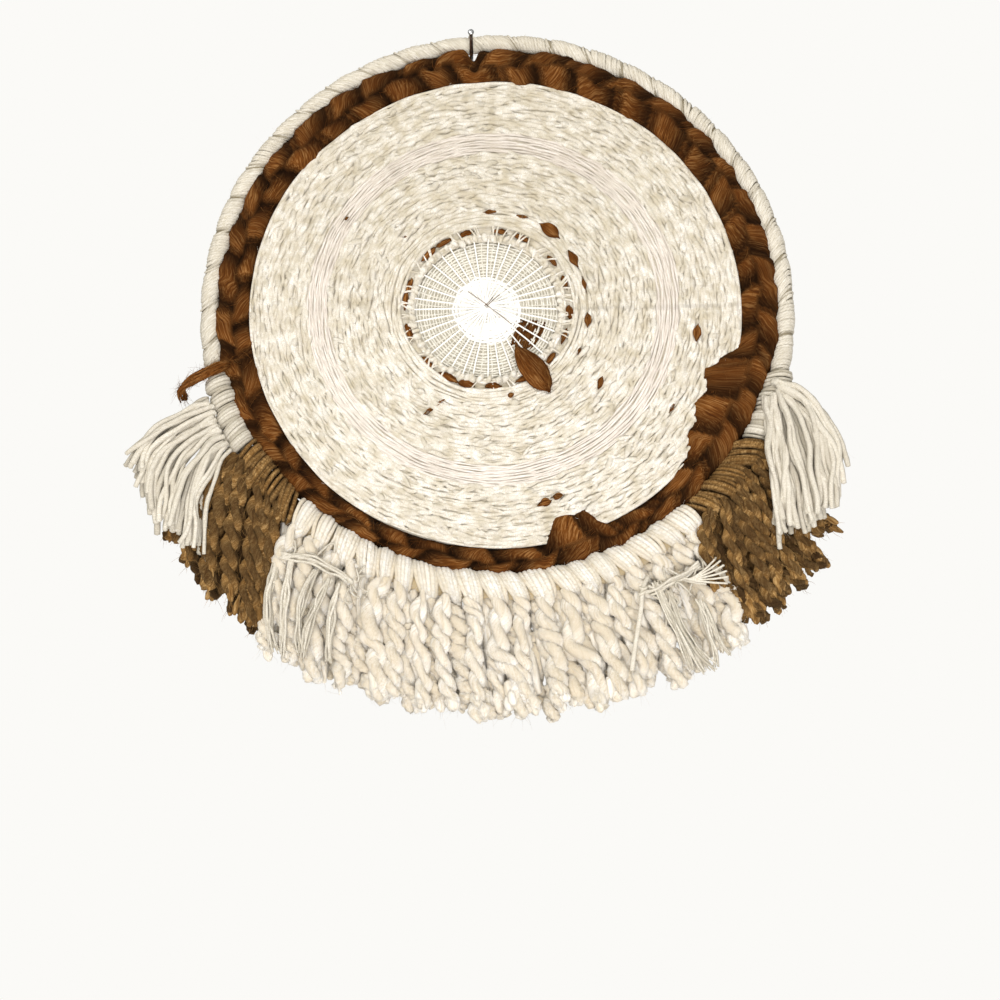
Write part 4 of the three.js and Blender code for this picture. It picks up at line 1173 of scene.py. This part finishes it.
def makeFringe(name, cord, knot, material, seed):
    row, look = knotRows[name], fringes[name]
    knots, core = makeKnots(row, knot)
    layers, backing = fringePaths(row, look, cord, seed)
    tails = []
    for level, paths in enumerate(layers):
        tails += [*pliedTails(paths, cord, level, seed + level * 31), endPuffs(paths, cord, seed + level)]
    backing = np.concatenate([backing, *[arcPath(seam, 10) for seam in look["seams"]]])
    # the backing gets the rear layer's painted shade
    wool = locks(backing, cord["backing"][1], flat=0.5, seed=seed, ends=0.6, shade=cord["pale"][2])
    makePiece(name + "_cords", [*tails, wool], material, [name])
    makePiece(name + "_knots", [*knots, core], material)
    onCords = strayFibres(joinParts(tails), cord["hairs"], length=7.5, lift=2.6, thickness=0.1, seed=seed + 5)
    onKnots = strayFibres(joinParts(knots), cord["hairs"] // 6, length=5, lift=1.1, thickness=0.06,
                          seed=seed + 6)
    makePiece(name + "_fibres", [onCords, onKnots], material)


makeFringe("fringe_brown_left", brownCord, brownKnot, pliedBrown, 11)
makeFringe("fringe_cream", creamCord, creamKnot, pliedCream, 23)
makeFringe("fringe_brown_right", thinCord, {**brownKnot, "lean": 5.0}, pliedBrown, 37)
print("fringes ready")


# tassels: smooth yarn ends, cut straight across

tassels = {
    "tassel_left": {"strands": (23, 22, 20), "guides": [
        ((-129.5, -16, -187.0), (-147.9, -20, -197.3), (-165.4, -22, -217.0)),
        ((-126.5, -17, -193.4), (-150.8, -22, -208.0), (-160.4, -23, -226.3)),
        ((-125.3, -17, -198.5), (-150.4, -22, -217.5), (-154.0, -23, -246.1)),
        ((-122.6, -17, -204.6), (-139.6, -22, -220.0), (-145.5, -23, -253.5)),
        ((-120.0, -17, -209.7), (-131.7, -21, -226.8), (-135.8, -22, -259.6)),
        ((-117.4, -17, -212.7), (-126.6, -21, -232.8), (-129.4, -22, -264.5))]},
    "tassel_right": {"strands": (20, 19, 18), "guides": [
        ((146.3, -17, -186.2), (145.5, -23, -220.3), (146.4, -25, -260.7)),
        ((148.8, -17, -186.2), (149.7, -24, -219.5), (152.1, -25, -250.4)),
        ((152.7, -18, -184.5), (157.1, -24, -216.5), (161.6, -25, -253.4)),
        ((152.5, -18, -181.6), (164.3, -24, -206.3), (169.5, -25, -246.5)),
        ((151.0, -18, -179.9), (171.0, -23, -201.0), (176.6, -24, -244.3)),
        ((149.5, -18, -178.4), (174.1, -21, -196.4), (180.5, -22, -223.0))]},
}
# pale is painted shade that darkens the rear layers
tasselYarn = {"yarn": 1.36, "wander": 2.1, "hairs": 420, "fall": 2.4, "spread": 3, "pale": (1, 0.85, 0.7)}
tasselKnot = {"turns": 5, "yarn": 1.05, "lean": 2.0, "steps": 24, "lay": 1.6, "pinch": 0.6, "wideAt": 0.4,
              "dip": 0.6, "flankShade": 0.75, "uneven": 0.2}


def makeTassel(name, look, seed):
    knots, core = makeKnots(knotRows[name], tasselKnot)
    guides, tails = tassels[name]["guides"], []
    for level, strands in enumerate(tassels[name]["strands"]):
        # the rear layers start nearer the hoop
        paths = guidedPaths(guides, strands, 34, seed + level * 9, spread=look["spread"], order=1.4)
        paths = paths - forward * look["fall"] * level
        along = lengthsOf(paths)
        number = np.arange(strands)[:, None]
        sway = swayOf(along, (1, 16, seed + number), (0.5, 12, seed + 30 + number),
                      (1, 16, seed + 60 + number))
        paths = paths + look["wander"] * sway * easeIn(0, 12, along)[..., None]
        size = look["yarn"] * (1 + 0.12 * waver(along / 8, seed + number))
        size = size * (1 + 0.2 * hashed(number, seed + 6))
        # painted shade: the rear layers are darker, and the tone varies at random from strand to strand
        tone = look["pale"][level] * (0.9 + 0.1 * hashed(number, seed + 2))
        yarns = sweep(paths, size, 6, flat=0.8, lay=1.1, shade=tone, offset=seed + level * 7)
        tails.append(roughen(yarns, 0.16, 1.6, seed))
    hairs = strayFibres(joinParts(tails), look["hairs"], length=5, lift=0.8, thickness=0.05, seed=seed)
    makePiece(name + "_yarn", tails, spunCream, [name])
    makePiece(name + "_knots", [*knots, core, hairs], spunCream)


makeTassel("tassel_left", tasselYarn, 71)
makeTassel("tassel_right", tasselYarn, 83)
print("tassels ready")


# loose bundles of thin thread in front of the cream fringe, each tied to a bar of the same thread

threads = {"yarn": 0.62, "each": 8, "spread": 1.9, "barThreads": 9, "tangle": 15}
threadsLeft = {"bar": ((-90.4, -19, -266.9), (-72.3, -20.4, -270.5), (-56.9, -19.5, -278.6)), "guides": [
    ((-92.4, -18, -268.6), (-95.7, -20, -291.3), (-91.4, -19, -312.2)),
    ((-85.1, -19, -267.9), (-87.9, -21, -293.3), (-88.0, -19, -314.1)),
    ((-73.3, -20, -273.9), (-80.2, -21, -293.3), (-78.9, -20, -313.3)),
    ((-66.4, -20, -278.2), (-74.4, -21, -297.2), (-77.4, -20, -314.7)),
    ((-62.6, -20, -280.2), (-65.3, -21, -302.0), (-66.4, -20, -317.0))]}
threadsRight = {"bar": ((110.4, -19.4, -271.0), (97.6, -21, -279.5), (85.6, -20, -284.0)), "guides": [
    ((88.7, -20, -279.7), (96.7, -21, -299.1), (105.7, -20, -320.8)),
    ((89.6, -20, -280.2), (100.4, -21, -302.0), (110.4, -20, -322.2)),
    ((95.3, -20, -283.6), (105.0, -21, -307.7), (116.1, -20, -320.8)),
    ((109.5, -20, -288.4), (113.6, -21, -303.9), (117.7, -19, -318.8)),
    ((112.4, -19, -289.7), (117.6, -20, -302.8), (122.1, -19, -314.1))]}


def makeThreads(look, row, seed):
    parts = []
    bar = np.array(row["bar"])
    for number, guide in enumerate(row["guides"]):
        paths = guidedPaths([guide, guide], look["each"], 30, seed + number * 7, spread=look["spread"])
        along = lengthsOf(paths)
        strand = np.arange(look["each"])[:, None]
        sway = swayOf(along, (1, 9, seed + number + strand), (0.5, 7, strand + 40), (0, 9, 0))
        size = look["yarn"] * (1 + 0.3 * hashed(strand, seed + number))
        size = size * (0.6 + 0.4 * easeIn(1, 0.8, along / along[:, -1:]))
        tone = 0.8 + 0.2 * hashed(strand, number)
        parts.append(sweep(paths + 0.9 * sway, size, 5, lay=2.2, shade=tone))
    across = guidedPaths([bar, bar], look["barThreads"], 24, seed + 3, spread=2)
    along = lengthsOf(across)
    order = np.arange(look["barThreads"])[:, None]
    sway = swayOf(along, (0, 6, 0), (1, 6, order), (1, 8, 20 + order))
    parts.append(sweep(across + 1.1 * sway, look["yarn"] * 1.1, 6, lay=2.2, shade=0.9))
    # short loops of the same thread, matted round the bar
    dice = np.random.default_rng(seed)
    shape = (look["tangle"], 3)
    where = bar[dice.integers(0, 3, look["tangle"])]
    where = where + dice.normal(0, 1, shape) * (4.2, 0.8, 4.2) + (1, 0.8, -2)
    way = dice.normal(0, 1, shape) * (2.6, 0.6, 3.4)
    bend = dice.normal(0, 1, shape) * (4.4, 0.8, 5) + (0, -1.2, 0)
    loops = arcPath([where - way, where + bend, where + way], 14)
    loops = loops[loops[..., 0].min(axis=1) > bar[:, 0].min() - 2]  # none beyond the bar's left end
    return [*parts, sweep(loops, look["yarn"] * 0.85, 5, lay=2.2, shade=0.75)]


def smoothLine(points, stations):
    # a smooth line through a few points
    points = np.array(points, float)
    at = np.linspace(0, len(points) - 1, stations)
    low = np.clip(np.floor(at).astype(int), 0, len(points) - 2)
    share = (at - low)[:, None]
    pad = np.concatenate([[2 * points[0] - points[1]], points, [2 * points[-1] - points[-2]]])
    a, b, c, d = pad[low], pad[low + 1], pad[low + 2], pad[low + 3]
    square, cube = 2 * a - 5 * b + 4 * c - d, 3 * b - a - 3 * c + d
    return 0.5 * (2 * b + (c - a) * share + square * share ** 2 + cube * share ** 3)


rightExtras = {
    # a strand with a knot in it, and a tied wisp of thin threads that fans to the right
    "strand": [(86, -17.5, -277), (83.2, -20.6, -283), (82, -21.4, -293.4), (79.4, -21.6, -307.7),
               (77.2, -20.6, -322)],
    "strandYarn": 1.15, "knotYarn": 0.75, "knotAt": (9, 12), "root": (95.5, -18.6, -273),
    "waist": (104.5, -21, -278.4), "yarn": 0.5, "bendDepth": -22.4, "tipDepth": -21.6,
    "tips": [(117.8, -269), (120.6, -269.6), (122.2, -271.8), (123.4, -274.6), (124, -277.4),
             (123.6, -280.6)],
}


def makeRightExtras(look):
    strand = smoothLine(look["strand"], 40)[None]
    parts = [sweep(strand, look["strandYarn"], 8, lay=1.5, shade=0.98)]
    ring = np.linspace(0, 2 * np.pi, 18, endpoint=False)
    for loop, station in enumerate(look["knotAt"]):
        circle = np.stack([1.5 * np.cos(ring), 1.3 * np.sin(ring), 0.9 * np.sin(ring + loop)], -1)
        parts.append(sweep((strand[0, station] + circle)[None], look["knotYarn"], 6, reference=(0, 0, 1),
                           closed=True, shade=0.95))
    waistX, waistZ = look["waist"][::2]
    tips = []
    for number, (x, z) in enumerate(look["tips"]):
        bend = ((waistX + x) / 2 + 1, look["bendDepth"] - 0.3 * number % 1, (waistZ + z) / 2 - 0.8)
        tips.append(smoothLine([look["root"], look["waist"], bend, (x, look["tipDepth"], z)], 26))
    tips = np.array(tips)
    # the strands behind are copies of the front ones moved back, with a little painted shade
    behind = tips[:, :16] + np.array([0.3, 0.8, -0.9])
    return [*parts, sweep(tips, look["yarn"], 6, lay=2.2), sweep(behind, look["yarn"], 6, lay=2.2, shade=0.9)]


rightThreads = [*makeThreads(threads, threadsRight, 97), *makeRightExtras(rightExtras)]
leftThreads = makeThreads(threads, threadsLeft, 91)
makePiece("threads_left_yarn", leftThreads, spunCream, ["threads_left"])
makePiece("threads_right_yarn", rightThreads, spunCream, ["threads_right"])
print("thread bundles ready")


# stage, light and camera

stage = {"floorHeight": -1.5, "floorSize": 8, "grain": "#e4e2dd", "floor": "#e9e7e3", "world": "#fbfaf7",
         "worldLight": 0.54}


def addToScene(name, data, place):
    added = bpy.data.objects.new(name, data)
    added.location = place
    bpy.context.scene.collection.objects.link(added)
    return added


def makeFloor(look):
    half = look["floorSize"] / 2
    mesh = bpy.data.meshes.new("studio_floor")
    corners = [(-half, -half, 0), (half, -half, 0), (half, half, 0), (-half, half, 0)]
    mesh.from_pydata(corners, [], [(0, 1, 2, 3)])
    material = bpy.data.materials.new("painted_board_floor")
    tree = emptyTree(material)
    place = addNode(tree, "ShaderNodeTexCoord")
    grain = addNode(tree, "ShaderNodeTexNoise", {"Scale": 4.0, "Detail": 4.0},
                    {"Vector": place.outputs["Object"]})
    stops = [(0.3, fromHex(look["grain"])), (0.7, fromHex(look["floor"]))]
    tone = addNode(tree, "ShaderNodeValToRGB", {"stops": stops}, {"Fac": grain})
    shader = addNode(tree, "ShaderNodeBsdfPrincipled", {"Roughness": 0.9}, {"Base Color": tone})
    addNode(tree, "ShaderNodeOutputMaterial", {}, {"Surface": shader})
    mesh.materials.append(material)
    addToScene("studio_floor", mesh, (0, 0, look["floorHeight"]))


def makeWorld(look):
    # a pale studio seen behind the object, which gives a softer light than it shows
    world = bpy.data.worlds.new("pale_studio")
    tree = emptyTree(world)
    ray = addNode(tree, "ShaderNodeLightPath")
    strength = addNode(tree, "ShaderNodeMapRange", {"To Min": look["worldLight"], "To Max": 1.0},
                       {"Value": ray})
    light = addNode(tree, "ShaderNodeBackground", {"Color": fromHex(look["world"])}, {"Strength": strength})
    addNode(tree, "ShaderNodeOutputWorld", {}, {"Surface": light})
    bpy.context.scene.world = world


lights = [
    # name, place, size in metres, watts and colour
    ("key", (-0.55, -1.5, 0.75), 1.1, 20, "#fffcf6"),
    ("fill", (0.2, -1.3, -0.95), 1.0, 21, "#fdfcff"),
    ("behind", (0.3, 1.4, 0.8), 1.4, 9, "#ffffff"),
]
lightsAim = (0.014, 0, -0.17)


def makeLights(rows):
    for name, place, size, watts, colour in rows:
        lamp = bpy.data.lights.new("studio_" + name, "AREA")
        lamp.size = size
        lamp.energy = watts
        lamp.color = fromHex(colour)[:3]
        holder = addToScene("studio_" + name, lamp, place)
        holder.rotation_mode = "QUATERNION"
        holder.rotation_quaternion = (Vector(lightsAim) - Vector(place)).to_track_quat("-Z", "Y")


# the photograph's own view, from below the hoop, looking up at it
view = {"place": (0.01495, -0.72947, -0.39613), "rise": 12.449, "lens": 54}


def makeCamera(look):
    lens = bpy.data.cameras.new("photo_view")
    lens.lens = look["lens"]
    lens.sensor_width = 36
    lens.clip_start = 0.01
    camera = addToScene("photo_view", lens, look["place"])
    camera.rotation_euler = (math.radians(90 + look["rise"]), 0, 0)
    bpy.context.scene.camera = camera


makeFloor(stage)
makeWorld(stage)
makeLights(lights)
makeCamera(view)
bpy.context.scene.view_settings.view_transform = "Standard"

print("stage ready")
